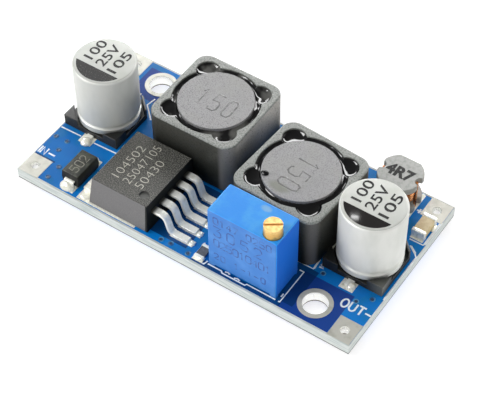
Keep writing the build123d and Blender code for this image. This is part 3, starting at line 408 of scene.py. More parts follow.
# The vias: small plated holes under the mask. Each shows as a raised ring with
# a dark eye, and they carry current and heat to the copper below.
VIAS = [
    (-20.4, -11.45), (-20.3, -9.4), (-22.1, -7.13), (-22.1, -5.4), (-23.85, -5.43), (-2.7, -11.7),
    (-1.35, -11.56), (1.26, -11.68), (16.4, -5.2), (21.83, -6.55), (23.29, -5.25),
]
VIA_RADIUS = 0.3
VIA_WALL = 0.07
VIA_STEPS = 20
VIA_WALL_STEPS = 8
EYE_RADIUS = 0.2
EYE_HEIGHT = 0.03
EYE_STEPS = 16
rings = bmesh.new()
for via_x, via_y in VIAS:
    place = Matrix.Translation((via_x, via_y, BOARD_TOP))
    wall = place @ Matrix.Translation((VIA_RADIUS, 0, 0)) @ Matrix.Rotation(math.pi / 2, 4, "X")
    bmesh.ops.create_circle(rings, segments=VIA_WALL_STEPS, radius=VIA_WALL, matrix=wall)
    loop = [edge for edge in rings.edges if not edge.link_faces]
    bmesh.ops.spin(
        rings, geom=loop, axis=(0, 0, 1), cent=place.to_translation(), dvec=(0, 0, 0),
        angle=2 * math.pi, steps=VIA_STEPS, use_merge=True,
    )
bmesh.ops.remove_doubles(rings, verts=rings.verts, dist=MERGE_DISTANCE)
bmesh.ops.recalc_face_normals(rings, faces=rings.faces)
via_finish = Finish("mask over vias", seen(76, 146, 190), 0.3)
via_tone = via_finish.grain(1.2).ramp(0.4, 0.65)
via_finish.paint(seen(84, 152, 192), seen(18, 92, 150), via_tone)
add_piece("via_rings", finished("via_rings", rings), via_finish)
eyes = bmesh.new()
for via_x, via_y in VIAS:
    place = Matrix.Translation((via_x, via_y, BOARD_TOP))
    bmesh.ops.create_cone(
        eyes, cap_ends=True, segments=EYE_STEPS, radius1=EYE_RADIUS, radius2=EYE_RADIUS,
        depth=EYE_HEIGHT, matrix=place,
    )
eye_finish = Finish("open via", seen(16, 40, 74), 0.6)
eye_finish.paint(seen(12, 34, 66), seen(30, 70, 110), eye_finish.grain(0.2))
add_piece("via_eyes", finished("via_eyes", eyes), eye_finish)


# The tinned copper: wire pads, the rings of the mounting holes and the adjuster's
# pads. Hot-air levelled tin is pale, slightly uneven and softly reflective, and
# the plated walls of the holes are brighter, with a painted shadow at their foot.
HOLE_FOOT = 0.16
HOLE_RIM = 0.02
tin = Finish("levelled tin", seen(206, 206, 196), 0.42, Metallic=0.1, Specular_IOR_Level=0.3)
blotch = tin.grain(1.4, detail=3.0)
tin_face = tin.blend(seen(198, 197, 187), seen(172, 172, 160), blotch.ramp(0.42, 0.75))
in_hole = tin.z < BOARD_TOP - HOLE_RIM
# Painted shadow at the foot of the hole walls.
foot_shadow = in_hole & (tin.z < HOLE_FOOT)
tin_metal = tin.blend(tin_face, seen(252, 252, 248), in_hole)
tin.paint(tin_metal, seen(104, 98, 88), foot_shadow)
tin.set("Metallic", in_hole * 0.8 + 0.1)
tin.set("Roughness", blotch.ramp(0.3, 0.75) * 0.15 + 0.36 - in_hole * 0.2)
tin.relief(tin.grain(0.9, detail=2.0), 0.03)
for node in ("wire_pads", "mounting_rings", "adjuster_pads"):
    dress(node, tin, edge=0.015)


# The solder: cream-white heaps at the ends of the leads, on lands that are as
# bright. It wetted the land and drew up the metal as it set. The heaps of each
# part are made in that part's section.
solder = Finish("set solder", seen(244, 242, 226), 0.3, Metallic=0.12)
flow = solder.grain(0.8, detail=2.0)
solder.paint(seen(250, 249, 236), seen(218, 216, 194), flow.ramp(0.52, 0.74))
solder.set("Roughness", flow.ramp(0.35, 0.75) * 0.2 + 0.22)
solder.relief(flow, 0.05)
dress("component_lands", solder, edge=0.015)
LAND_TOP = size_of("component_lands")[1].z
HEAP_STEPS = (24, 14)
HEAP_LUMP = 1.7


def heaps(name, spots, finish=solder, base=LAND_TOP, lumps=0.06):
    """Heaps of solder, or drops, on a level: the middle, length, width and height of each."""
    shape = bmesh.new()
    for x, y, length, width, height in spots:
        place = Matrix.Translation((x, y, base)) @ Matrix.Diagonal((length, width, 2 * height, 1))
        bmesh.ops.create_uvsphere(
            shape, u_segments=HEAP_STEPS[0], v_segments=HEAP_STEPS[1], radius=0.5, matrix=place
        )
    for vertex in shape.verts:
        vertex.co += Vector((1, 1, 1)) * noise.noise(vertex.co * HEAP_LUMP) * lumps
    whole = shape.verts[:] + shape.edges[:] + shape.faces[:]
    bmesh.ops.bisect_plane(shape, geom=whole, plane_co=(0, 0, base), plane_no=(0, 0, -1), clear_outer=True)
    bmesh.ops.holes_fill(shape, edges=[edge for edge in shape.edges if edge.is_boundary], sides=0)
    bmesh.ops.recalc_face_normals(shape, faces=shape.faces)
    add_piece(name, finished(name, shape), finish, degrees=60)


# The can capacitors: drawn aluminium cans, clean on top but for a black segment
# and three rows of digits. Each is crimped into a black base with two leads.
CAN_TOP_ROUND = 0.35
CAN_FOOT_CHAMFER = 0.25
GROOVE_RISE = 0.95
GROOVE_HEIGHT = 0.8
GROOVE_DEPTH = 0.3
CAN_STEPS = 96
ARC_STEPS = 8
SEGMENT_CHORD = -1.56
SEGMENT_RIM = 0.52
PRINT_LIFT = 0.012
CAN_DIGIT_HEIGHT = 1.4
CAN_DIGIT_WEIGHT = 0.012
INPUT_SHADE_REACH = (-10, 10)
INPUT_SHADE_SHARE = 0.25
HIGHLIGHT_CORNER = (25.8, 28.4)


def arc(centre, radius, start, end):
    """Points of an arc in the plane of radius and height, between two angles."""
    turns = [math.radians(start + (end - start) * step / ARC_STEPS) for step in range(ARC_STEPS + 1)]
    return [(centre[0] + radius * math.cos(turn), centre[1] + radius * math.sin(turn)) for turn in turns]


def lathe(name, profile, x, y, steps):
    """A turned shape: a profile of radius and height spun about an upright axis."""
    shape = bmesh.new()
    corners = [shape.verts.new((radius, 0, height)) for radius, height in profile]
    edges = [shape.edges.new(pair) for pair in zip(corners, corners[1:])]
    bmesh.ops.spin(
        shape, geom=corners + edges, axis=(0, 0, 1), cent=(0, 0, 0), dvec=(0, 0, 0),
        angle=2 * math.pi, steps=steps, use_merge=True,
    )
    bmesh.ops.remove_doubles(shape, verts=shape.verts, dist=MERGE_DISTANCE)
    bmesh.ops.recalc_face_normals(shape, faces=shape.faces)
    bmesh.ops.translate(shape, verts=shape.verts, vec=(x, y, 0))
    return finished(name, shape)


def lettering(name, text, width, height, place, weight):
    """Flat printed characters of a given size, centred on their place. A weight makes them bolder."""
    curve = bpy.data.curves.new(name, "FONT")
    curve.body = text
    curve.extrude = PRINT_LIFT / 2
    curve.offset = weight
    curve.resolution_u = 3
    mesh = curve_mesh(name, curve)
    xs = [vertex.co.x for vertex in mesh.vertices]
    ys = [vertex.co.y for vertex in mesh.vertices]
    middle = Matrix.Translation((-(min(xs) + max(xs)) / 2, -(min(ys) + max(ys)) / 2, 0))
    fit = Matrix.Diagonal((width / (max(xs) - min(xs)), height / (max(ys) - min(ys)), 1, 1))
    mesh.transform(place @ fit @ middle)
    return mesh


def upright(x, y, z, turn=0.0):
    """A place on a level surface, turned about the upright axis."""
    return Matrix.Translation((x, y, z)) @ Matrix.Rotation(math.radians(turn), 4, "Z")


aluminium = Finish("drawn aluminium", seen(212, 214, 208), 0.45, Metallic=0.08, Specular_IOR_Level=0.2)
drawn = aluminium.grain(2.4, detail=2.0, stretch=(0.8, 0.8, 2.0))
can_side = aluminium.blend(seen(230, 231, 226), seen(217, 219, 213), drawn.ramp(0.35, 0.75))
# Painted shade: the can tops are coloured darker than the sides of the same aluminium.
shaded_can_top = aluminium.blend(seen(190, 192, 187), seen(178, 180, 174), drawn.ramp(0.35, 0.75))
can_face = aluminium.blend(can_side, shaded_can_top, aluminium.on_top("input_capacitor_can"))
# Painted shade: the can at the input end (low x) is darkened.
input_can_shade = INPUT_SHADE_SHARE - aluminium.x.ramp(*INPUT_SHADE_REACH) * INPUT_SHADE_SHARE
aluminium.paint(can_face, seen(164, 166, 161), input_can_shade)
aluminium.set("Roughness", drawn.ramp(0.3, 0.8) * 0.06 + 0.42)
aluminium.relief(aluminium.grain(0.3), 0.003)

can_print = Finish("can print", seen(26, 25, 26), 0.5, Specular_IOR_Level=0.12)
flecks = can_print.grain(0.16, detail=1.0)
can_print.paint(seen(14, 14, 14), seen(112, 110, 104), flecks.ramp(0.6, 0.76) * 0.6)
can_print.relief(flecks, 0.02)

glossy_print = Finish("glossy can print", seen(22, 20, 20), 0.03, Specular_IOR_Level=0.35)
glossy_print.paint(seen(8, 7, 7), seen(34, 29, 27), glossy_print.grain(0.5))
glossy_print.relief(glossy_print.grain(0.9), 0.0004)

black_plastic = Finish("black moulding", seen(34, 36, 34), 0.45, Specular_IOR_Level=0.3)
moulding = black_plastic.grain(0.12, detail=2.0)
moulded = black_plastic.blend(seen(17, 19, 17), seen(46, 47, 43), moulding.ramp(0.55, 0.8))
# Painted highlight: the black moulding is paler towards the output base's front corner.
corner_highlight = (black_plastic.x - black_plastic.y).ramp(*HIGHLIGHT_CORNER) * 0.42
black_plastic.paint(moulded, seen(132, 134, 127), corner_highlight)
black_plastic.relief(moulding, 0.01)

bright_tin = Finish("bright tin", seen(244, 244, 230), 0.34)
streak = bright_tin.grain(0.5, detail=2.0)
bright_tin.paint(seen(253, 253, 242), seen(222, 224, 204), streak.ramp(0.56, 0.8))
bright_tin.set("Roughness", streak * 0.2 + 0.24)
bright_tin.relief(streak, 0.02)

DIGIT_ROWS = [("100", -2.12, 1.02, 3.5), ("25V", -0.19, 1.03, 4.0), ("105", 1.78, 0.8, 3.9)]
for name, segment_finish in (("input_capacitor", can_print), ("output_capacitor", glossy_print)):
    low, high = size_of(name + "_can")
    x, y = (low.x + high.x) / 2, (low.y + high.y) / 2
    radius = (high.x - low.x) / 2
    groove = low.z + GROOVE_RISE + GROOVE_HEIGHT / 2
    half = GROOVE_HEIGHT / 2
    bow = (half * half + GROOVE_DEPTH * GROOVE_DEPTH) / (2 * GROOVE_DEPTH)
    reach = math.degrees(math.asin(half / bow))
    profile = [(0, low.z), (radius - CAN_FOOT_CHAMFER, low.z), (radius, low.z + CAN_FOOT_CHAMFER)]
    profile += arc((radius - GROOVE_DEPTH + bow, groove), bow, 180 + reach, 180 - reach)
    profile += arc((radius - CAN_TOP_ROUND, high.z - CAN_TOP_ROUND), CAN_TOP_ROUND, 0, 90)
    profile += [(0, high.z)]
    can = lathe(name + "_shell", profile, x, y, CAN_STEPS)
    add_piece(name + "_shell", can, aluminium, degrees=50, stands_for=[name + "_can"])

    segment = bmesh.new()
    bmesh.ops.create_circle(segment, cap_ends=True, radius=radius - SEGMENT_RIM, segments=CAN_STEPS)
    halves = segment.verts[:] + segment.edges[:] + segment.faces[:]
    bmesh.ops.bisect_plane(
        segment, geom=halves, plane_co=(0, SEGMENT_CHORD, 0), plane_no=(0, 1, 0), clear_outer=True
    )
    lifted = bmesh.ops.extrude_face_region(segment, geom=segment.faces[:])
    top_verts = [item for item in lifted["geom"] if isinstance(item, bmesh.types.BMVert)]
    bmesh.ops.translate(segment, verts=top_verts, vec=(0, 0, PRINT_LIFT))
    bmesh.ops.translate(segment, verts=segment.verts, vec=(x, y, high.z))
    bmesh.ops.recalc_face_normals(segment, faces=segment.faces)
    print_mesh = finished(name + "_segment", segment)
    add_piece(name + "_segment", print_mesh, segment_finish)

    digits = []
    for text, across, along, length in DIGIT_ROWS:
        place = upright(x + across, y + along, high.z + PRINT_LIFT / 2, 90)
        digits.append(lettering(name + text, text, length, CAN_DIGIT_HEIGHT, place, CAN_DIGIT_WEIGHT))
    add_piece(name + "_digits", join_meshes(name + "_digits", digits), can_print)
    dress(name + "_base", black_plastic, edge=0.06)
    dress(name + "_leads", bright_tin, edge=0.05)
heaps("capacitor_solder", [
    (-19.98, -4.15, 1.5, 1.5, 0.55), (-20.1, 6.3, 1.5, 1.5, 0.5),
    (20.2, -5.0, 1.1, 1.3, 0.5), (19.85, 5.0, 1.4, 1.4, 0.5),
])


# The regulator: a chip in black epoxy on a tinned copper tab, with five leads
# bent down to the board. The top is grained from the mould and marked in grey.
DIMPLE = (-6.16, -10.11)
DIMPLE_REACH = 0.44
DIMPLE_RISE = (0.2, 0.5)
DIMPLE_DEPTH = (0.02, 0.3)
SHADED_END = 0.3
LEAD_PITCH = 1.7
LEAD_COUNT = 5
LEAD_FOOT = (0.78, -10.2)
REG_DIGIT_HEIGHT = 1.15
REG_DIGIT_WEIGHT = -0.02
LEAD_HEAP = (0.9, 0.9, 0.28)
LEAD_LIT = (0.1, 0.65)
epoxy = Finish("grained epoxy", seen(76, 78, 78), 0.62, Specular_IOR_Level=0.2)
sand = epoxy.grain(0.13, detail=2.0)
top_face = epoxy.on_top("regulator_body")
epoxy_top = epoxy.blend(seen(44, 45, 42), seen(112, 111, 104), sand.ramp(0.4, 0.68))
epoxy_side = epoxy.blend(seen(116, 115, 116), seen(124, 123, 123), sand.ramp(0.4, 0.7))
low, high = size_of("regulator_body")
# Painted shade: the +X end of the body, between the leads, is nearly black.
epoxy_side = epoxy.blend(epoxy_side, seen(16, 18, 16), epoxy.x > high.x - SHADED_END)
# Inside the mould's dimple, painted shade darkens it towards its rim.
dimple_x = epoxy.x - DIMPLE[0]
dimple_y = epoxy.y - DIMPLE[1]
from_dimple = dimple_x * dimple_x + dimple_y * dimple_y
dimple_rim_shade = from_dimple.ramp(*DIMPLE_RISE)
dimple_shaded = epoxy.blend(seen(74, 75, 72), seen(26, 27, 26), dimple_rim_shade)
epoxy_face = epoxy.blend(epoxy_side, epoxy_top, top_face)
below_top = (epoxy.z < high.z - DIMPLE_DEPTH[0]) & (epoxy.z > high.z - DIMPLE_DEPTH[1])
in_dimple = (from_dimple < DIMPLE_REACH) & below_top
epoxy.paint(epoxy_face, dimple_shaded, in_dimple)
epoxy.relief(sand * (top_face * 0.85 + 0.15), 0.03)
dress("regulator_body", epoxy, edge=0.06)
dress("regulator_tab", solder, edge=0.05)
lead_tin = Finish("lead tin", seen(250, 250, 238), 0.28, Metallic=0.2)
# Painted shadow: each lead is dark where it leaves the body, and lit past that.
clear_of_root_shade = lead_tin.x.ramp(*(high.x + reach for reach in LEAD_LIT))
lead_face = lead_tin.blend(seen(255, 255, 246), seen(236, 237, 220), lead_tin.grain(0.5).ramp(0.5, 0.8))
lead_tin.paint(seen(66, 66, 58), lead_face, clear_of_root_shade)
lead_tin.relief(lead_tin.grain(0.5), 0.015)
dress("regulator_leads", lead_tin, edge=0.05)
foot_x, foot_y = LEAD_FOOT
lead_feet = [(foot_x, foot_y + LEAD_PITCH * lead) for lead in range(LEAD_COUNT)]
heaps("regulator_solder", [foot + LEAD_HEAP for foot in lead_feet])
heaps("tab_solder", [(-14.55, -10.9, 1.7, 2.2, 0.35), (-14.6, -8.6, 1.4, 3.0, 0.3)])

REG_ROWS = [("104502", -10.9, -6.75, 5.7), ("25047105", -9.2, -6.3, 6.9), ("50430", -7.5, -7.1, 5.0)]
marks = []
for text, x, y, length in REG_ROWS:
    place = upright(x, y, high.z, 90)
    marks.append(lettering("mark" + text, text, length, REG_DIGIT_HEIGHT, place, REG_DIGIT_WEIGHT))
laser = Finish("laser marking", seen(170, 168, 154), 0.6)
laser.paint(seen(158, 156, 142), seen(210, 207, 192), laser.grain(0.2))
add_piece("regulator_marking", join_meshes("regulator_marking", marks), laser)


# The rectifier diode: a small block of the same kind of epoxy, with two tabs
# folded under it, a pale marking on top and much solder at its front.
diode_epoxy = Finish("diode epoxy", seen(64, 68, 60), 0.4, Specular_IOR_Level=0.2)
diode_sand = diode_epoxy.grain(0.7, detail=4.0)
diode_top = diode_epoxy.on_top("diode_body")
diode_face = diode_epoxy.blend(seen(66, 69, 58), seen(28, 31, 25), diode_sand.ramp(0.38, 0.62))
# Painted shade: every face of the body but the top is nearly black.
diode_epoxy.paint(seen(17, 18, 15), diode_face, diode_top)
diode_epoxy.relief(diode_sand, 0.02)
dress("diode_body", diode_epoxy, edge=0.06)
dress("diode_tabs", bright_tin, edge=0.04)
low, high = size_of("diode_body")
x, y = (low.x + high.x) / 2, (low.y + high.y) / 2
MARK_START = (0.6, -1.45)
MARK_HEIGHT = 1.2
MARK_PITCH = 1.0
MARK_LINE = 0.12
MARK_RELIEF = 0.02
mark_rows = written("502", MARK_HEIGHT, MARK_PITCH, (x + MARK_START[0], y + MARK_START[1]), 90)
diode_mark = bead_lines("diode_marking", mark_rows, MARK_LINE, MARK_RELIEF, upright(0, 0, high.z))
dull_ink = Finish("dull ink", seen(140, 138, 120), 0.5)
dull_ink.paint(seen(156, 152, 134), seen(92, 92, 80), dull_ink.grain(0.4))
add_piece("diode_marking", diode_mark, dull_ink)
heaps("diode_solder", [(-17.3, -11.45, 2.1, 1.35, 1.0), (-17.15, -6.1, 1.6, 1.1, 0.5)], lumps=0.1)


# The power inductors: a ground ferrite ring round a wound ferrite drum. Black
# glue fills the gap and the four corner pockets, and shines where it set in lumps.
RING_FACE = 0.2
SIDE_LIT = (1.0, 2.0)
END_REFLECTION_REACH = (-1.7, -0.1)
END_REFLECTION_RISE = (2.0, 0.6)
CORNER_HIGHLIGHT_REACH = (1.69, 1.8)


def ring_ferrite(name, node, end_reflection):
    """Ferrite of one ring: speckled on top, with painted shade darker down its sides, a painted reflection
    paler up its +X end and a painted highlight down its near corner.
    """
    low, high = size_of(node)
    middle, half = (low + high) / 2, (high.x - low.x) / 2
    made = Finish(name, seen(150, 153, 150), 0.42, Specular_IOR_Level=0.25)
    pores = made.grain(0.2, detail=3.0)
    top = made.z > high.z - RING_FACE
    face = made.blend(seen(147, 150, 145), seen(82, 87, 83), pores.ramp(0.42, 0.7) * 0.8)
    # Painted shade: the sides darken towards the bottom.
    height = made.z.ramp(low.z + SIDE_LIT[0], high.z + SIDE_LIT[1])
    side = made.blend(seen(28, 31, 27), seen(78, 77, 71), height)
    # Painted reflection: the upper part of the +X end is paler, by the given share.
    end = made.x.ramp(high.x + END_REFLECTION_REACH[0], high.x + END_REFLECTION_REACH[1]) * end_reflection
    upward = made.z.ramp(low.z + END_REFLECTION_RISE[0], high.z + END_REFLECTION_RISE[1])
    side = made.blend(side, seen(196, 192, 184), end * upward)
    side = made.blend(side, seen(24, 28, 26), pores.ramp(0.5, 0.75) * 0.6)
    # Painted highlight: a paler streak down the near (+X, -Y) corner.
    to_corner = (made.x - middle.x) - (made.y - middle.y)
    corner = to_corner.ramp(half * CORNER_HIGHLIGHT_REACH[0], half * CORNER_HIGHLIGHT_REACH[1])
    side = made.blend(side, seen(128, 127, 126), corner * 0.5)
    made.paint(side, face, top)
    made.set("Roughness", pores * 0.25 + 0.28)
    made.relief(pores, 0.02)
    return made


disc_ferrite = Finish("drum ferrite", seen(160, 159, 161), 0.55, Specular_IOR_Level=0.25)
speck = disc_ferrite.grain(0.11, detail=1.5)
haze = disc_ferrite.grain(4.0, detail=2.0)
disc_face = disc_ferrite.blend(seen(159, 158, 160), seen(98, 99, 98), speck.ramp(0.42, 0.75))
disc_face = disc_ferrite.blend(disc_face, seen(150, 150, 144), haze.ramp(0.45, 0.7) * 0.4)
SMUDGE = (8.3, -2.6)
SMUDGE_REACH = (1.5, 0.75)
SMUDGE_EDGE = (0.6, 2.1)
smudge_x = (disc_ferrite.x - SMUDGE[0]) * (1 / SMUDGE_REACH[0])
smudge_y = (disc_ferrite.y - SMUDGE[1]) * (1 / SMUDGE_REACH[1])
smudge = smudge_x * smudge_x + smudge_y * smudge_y + disc_ferrite.grain(0.6, detail=3.0)
disc_face = disc_ferrite.blend(seen(120, 122, 112), disc_face, smudge.ramp(*SMUDGE_EDGE))
disc_ferrite.set("Base Color", disc_face)
disc_ferrite.relief(speck, 0.02)


def set_glue_finish(name, painted_reflection):
    """Glossy black glue, with grey patches painted in as a reflection of the bright room."""
    made = Finish(name, seen(10, 10, 11), 0.06, Specular_IOR_Level=0.2)
    sheen_patches = made.grain(2.2, detail=2.0)
    # Painted reflection: grey patches on the black glue.
    made.paint(seen(3, 3, 4), seen(112, 112, 108), sheen_patches.ramp(0.47, 0.66) * painted_reflection)
    made.set("Roughness", sheen_patches.ramp(0.4, 0.8) * 0.1 + 0.04)
    made.relief(made.grain(0.5, detail=1.0), 0.004)
    return made


copper = Finish("enamelled copper", seen(200, 128, 74), 0.22, Metallic=0.9)
copper.paint(seen(226, 158, 104), seen(118, 62, 30), copper.grain(0.5).ramp(0.4, 0.7))
copper.relief(copper.grain(0.3), 0.01)

GLUE_CELL = 0.07
GLUE_OVERLAP = 0.1
GLUE_SINK = 0.44
GLUE_CLIMB = 0.42
GLUE_CLIMB_REACH = 0.35
GLUE_LUMP = 0.8
GLUE_MERGE = 0.001
POCKET_RADIUS = 1.55
POCKET_FROM_MIDDLE = 5.455
RING_BORE = 5.65
DRUM_FLANGE = 4.85


def set_glue(name, node, lumps, turn):
    """The glue as it set: a skin that dips between its walls and climbs them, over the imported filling."""
    low, high = size_of(node)
    middle = (low + high) / 2
    filling = bmesh.new()
    filling.from_mesh(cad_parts[node].data)
    bmesh.ops.scale(filling, verts=filling.verts, vec=(1 / MM, 1 / MM, 1 / MM))
    bmesh.ops.remove_doubles(filling, verts=filling.verts, dist=GLUE_MERGE)
    upper = [vertex for vertex in filling.verts if vertex.co.z > middle.z]
    floor_z = min(vertex.co.z for vertex in upper)
    bmesh.ops.delete(filling, geom=upper, context="VERTS")
    lower_filling = finished(name, filling)

    corners = [math.radians(45 + 90 * quarter + turn) for quarter in range(4)]
    pockets = [Vector((math.cos(corner), math.sin(corner), 0)) * POCKET_FROM_MIDDLE for corner in corners]
    span = high.x - middle.x + 2 * GLUE_OVERLAP
    cells = round(2 * span / GLUE_CELL)
    skin = bmesh.new()
    bmesh.ops.create_grid(skin, x_segments=cells, y_segments=cells, size=span)
    outside = []
    for vertex in skin.verts:
        spot = vertex.co.copy()
        in_pockets = [POCKET_RADIUS - (spot - pocket).length for pocket in pockets]
        to_ring = max([RING_BORE - spot.length] + in_pockets)
        to_drum = spot.length - DRUM_FLANGE
        if min(to_ring, to_drum) < -GLUE_OVERLAP:
            outside.append(vertex)
        climb = sum(math.exp(-max(gap, 0) / GLUE_CLIMB_REACH) for gap in (to_ring, to_drum))
        wave = noise.noise(spot * GLUE_LUMP + Vector((turn, 0, 0))) * lumps
        vertex.co.z = high.z - GLUE_SINK + GLUE_CLIMB * climb + wave
    bmesh.ops.delete(skin, geom=outside, context="VERTS")
    lifted = bmesh.ops.extrude_face_region(skin, geom=skin.faces[:])
    for item in lifted["geom"]:
        if isinstance(item, bmesh.types.BMVert):
            item.co.z = floor_z
    bmesh.ops.translate(skin, verts=skin.verts, vec=(middle.x, middle.y, 0))
    bmesh.ops.recalc_face_normals(skin, faces=skin.faces)
    return join_meshes(name, [finished(name, skin), lower_filling])


DIGIT_LINE = 0.24
DIGIT_RELIEF = 0.04
DIGIT_HEIGHT = 2.8
DIGIT_PITCH = 2.0
DIGIT_SLIM = 0.7
GLUE_DROP = (5.75, -1.75, 1.0, 0.8, 0.3)
for name, lumps, painted_reflection, end_reflection, text, start, spin in (
    ("inductor_1", 0.14, 0.7, 0.85, "150", (-8.2, 3.15), 0.0),
    ("inductor_2", 0.08, 0.0, 0.0, "150", (7.9, 3.1), -93.5),
):
    dress(name + "_shield", ring_ferrite(name + " ring ferrite", name + "_shield", end_reflection), edge=0.1)
    dress(name + "_drum", disc_ferrite, edge=0.08)
    dress(name + "_winding", copper)
    dress(name + "_feet", bright_tin)
    glue_piece = name + "_set_glue"
    filling = set_glue(glue_piece, name + "_glue", lumps, spin)
    glue = set_glue_finish(name + " glue", painted_reflection)
    add_piece(glue_piece, filling, glue, degrees=80, stands_for=[name + "_glue"])
    top = size_of(name + "_drum")[1].z
    rows = written(text, DIGIT_HEIGHT, DIGIT_PITCH, start, spin, DIGIT_SLIM)
    etched_digits = bead_lines(name + "_digits", rows, DIGIT_LINE, DIGIT_RELIEF, upright(0, 0, top))
    etch = Finish(name + " digits", seen(66, 66, 66), 0.5)
    etch.paint(seen(24, 24, 24), seen(104, 104, 102), etch.grain(0.5).ramp(0.45, 0.7))
    add_piece(name + "_digits", etched_digits, etch)

heaps("glue_drop", [GLUE_DROP], finish=glue, base=size_of("inductor_2_drum")[1].z)


# The filter inductor: a small open drum with its copper coil in view. The wire
# ends run down two notches to silvered areas under the lower flange.
pale_ferrite = Finish("pale ferrite", seen(164, 166, 160), 0.45)
mottle = pale_ferrite.grain(0.5, detail=3.0)
pale_ferrite.paint(seen(148, 149, 144), seen(126, 129, 123), mottle.ramp(0.4, 0.75))
pale_ferrite.relief(mottle, 0.015)
dress("filter_inductor_drum", pale_ferrite, edge=0.06)
dress("filter_inductor_pads", bright_tin)
FLANGE = 0.95
COIL_WIRE = 0.2
COIL_RADIUS = 2.05
COIL_TURNS = 7
COIL_STEPS = 28
CORE_STEPS = 32
WIRE_END_RISE = 0.6
low, high = size_of("filter_inductor_winding")
x, y = (low.x + high.x) / 2, (low.y + high.y) / 2
drum_low, drum_high = size_of("filter_inductor_drum")
coil_low = drum_low.z + FLANGE + COIL_WIRE
coil_rise = drum_high.z - FLANGE - COIL_WIRE - coil_low
coil = bpy.data.curves.new("coil", "CURVE")
coil.dimensions = "3D"
coil.bevel_depth = COIL_WIRE
coil.bevel_resolution = 2
coil.use_fill_caps = True
spline = coil.splines.new("POLY")
spline.points.add(COIL_TURNS * COIL_STEPS)
for step, point in enumerate(spline.points):
    turn = 2 * math.pi * step / COIL_STEPS
    rise = coil_rise * step / (COIL_TURNS * COIL_STEPS)
    point.co = (x + COIL_RADIUS * math.cos(turn), y + COIL_RADIUS * math.sin(turn), coil_low + rise, 1)
for side in (-1, 1):
    wire_x = x + side * (high.x - x - COIL_WIRE)
    spline = coil.splines.new("POLY")
    spline.points.add(1)
    spline.points[0].co = (wire_x, y, low.z, 1)
    spline.points[1].co = (wire_x, y, high.z + WIRE_END_RISE, 1)
coil_mesh = curve_mesh("coil", coil)
coil_top = coil_low + coil_rise
core_profile = [(0, coil_low), (COIL_RADIUS, coil_low), (COIL_RADIUS, coil_top), (0, coil_top)]
core = lathe("core", core_profile, x, y, CORE_STEPS)
coil_piece = join_meshes("filter_inductor_coil", [coil_mesh, core])
add_piece("filter_inductor_coil", coil_piece, copper, stands_for=["filter_inductor_winding"])
MARK_SHIFT = -0.1
BIG_MARK = (3.7, 1.85)
BIG_MARK_WEIGHT = 0.045
place = upright(x + MARK_SHIFT, y, drum_high.z)
filter_mark = lettering("filter_marking", "4R7", *BIG_MARK, place, BIG_MARK_WEIGHT)
black_ink = Finish("black ink", seen(30, 30, 30), 0.5, Specular_IOR_Level=0.1)
black_ink.paint(seen(16, 16, 16), seen(60, 60, 58), black_ink.grain(0.3).ramp(0.5, 0.8))
add_piece("filter_marking", filter_mark, black_ink)


# The chip parts: fired ceramic blocks with tinned ends. The tan capacitor lies by
# the output's plus pad, and the black resistor at the foot of the adjuster.
tan = Finish("tan ceramic", seen(196, 172, 128), 0.4)
tan.paint(seen(212, 192, 142), seen(194, 168, 118), tan.grain(0.8).ramp(0.4, 0.7))
tan.relief(tan.grain(0.2), 0.01)
glazed = Finish("glazed ceramic", seen(30, 30, 32), 0.2)
glazed.paint(seen(58, 60, 64), seen(112, 116, 124), glazed.grain(0.4))
dress("chip_capacitor_body", tan, edge=0.05)
silver = Finish("silvered ends", seen(232, 232, 226), 0.3, Metallic=0.6)
silver.paint(seen(244, 244, 238), seen(206, 208, 202), silver.grain(0.4).ramp(0.45, 0.75))
silver.relief(silver.grain(0.3), 0.01)
dress("chip_capacitor_ends", silver, edge=0.06)
dress("chip_resistor_body", glazed, edge=0.03)
dress("chip_resistor_ends", bright_tin, edge=0.03)
heaps("chip_solder", [
    (2.9, -11.45, 1.2, 1.0, 0.45), (24.0, 8.1, 0.5, 1.2, 0.3), (23.0, 9.0, 1.4, 0.8, 0.3),
])


# The adjuster: a blue moulded box whose brass screw turns a wheel inside. The
# front carries rows of faint darker digits; pins pass through the board.
GATE_MARK = (9.83, -7.55)
GATE_MARK_SLIM = 1.6
GATE_MARK_EDGE = (0.3, 1.0)
PRINT_INSET = 0.9
PRINT_LINE = 0.2
PRINT_RELIEF = 0.02
low, high = size_of("adjuster_housing")
housing = Finish("blue moulding", seen(62, 142, 230), 0.42, Specular_IOR_Level=0.15)
tone = housing.grain(2.2, detail=3.0)
front_face = housing.y < low.y + FACE_DEPTH
shaded_end_face = housing.x > high.x - FACE_DEPTH
shade = housing.blend(seen(34, 152, 252), seen(58, 168, 252), tone.ramp(0.4, 0.7))
# Painted sheen: the front face gets a paler, greyer copy of the blue.
front_painted_sheen = housing.blend(seen(70, 132, 210), seen(84, 146, 220), tone.ramp(0.4, 0.7))
spot_x = housing.x - GATE_MARK[0]
spot_y = (housing.y - GATE_MARK[1]) * GATE_MARK_SLIM
spot = (spot_x * spot_x + spot_y * spot_y + housing.grain(0.6) * 0.5).ramp(*GATE_MARK_EDGE)
shade = housing.blend(seen(124, 186, 240), shade, spot)
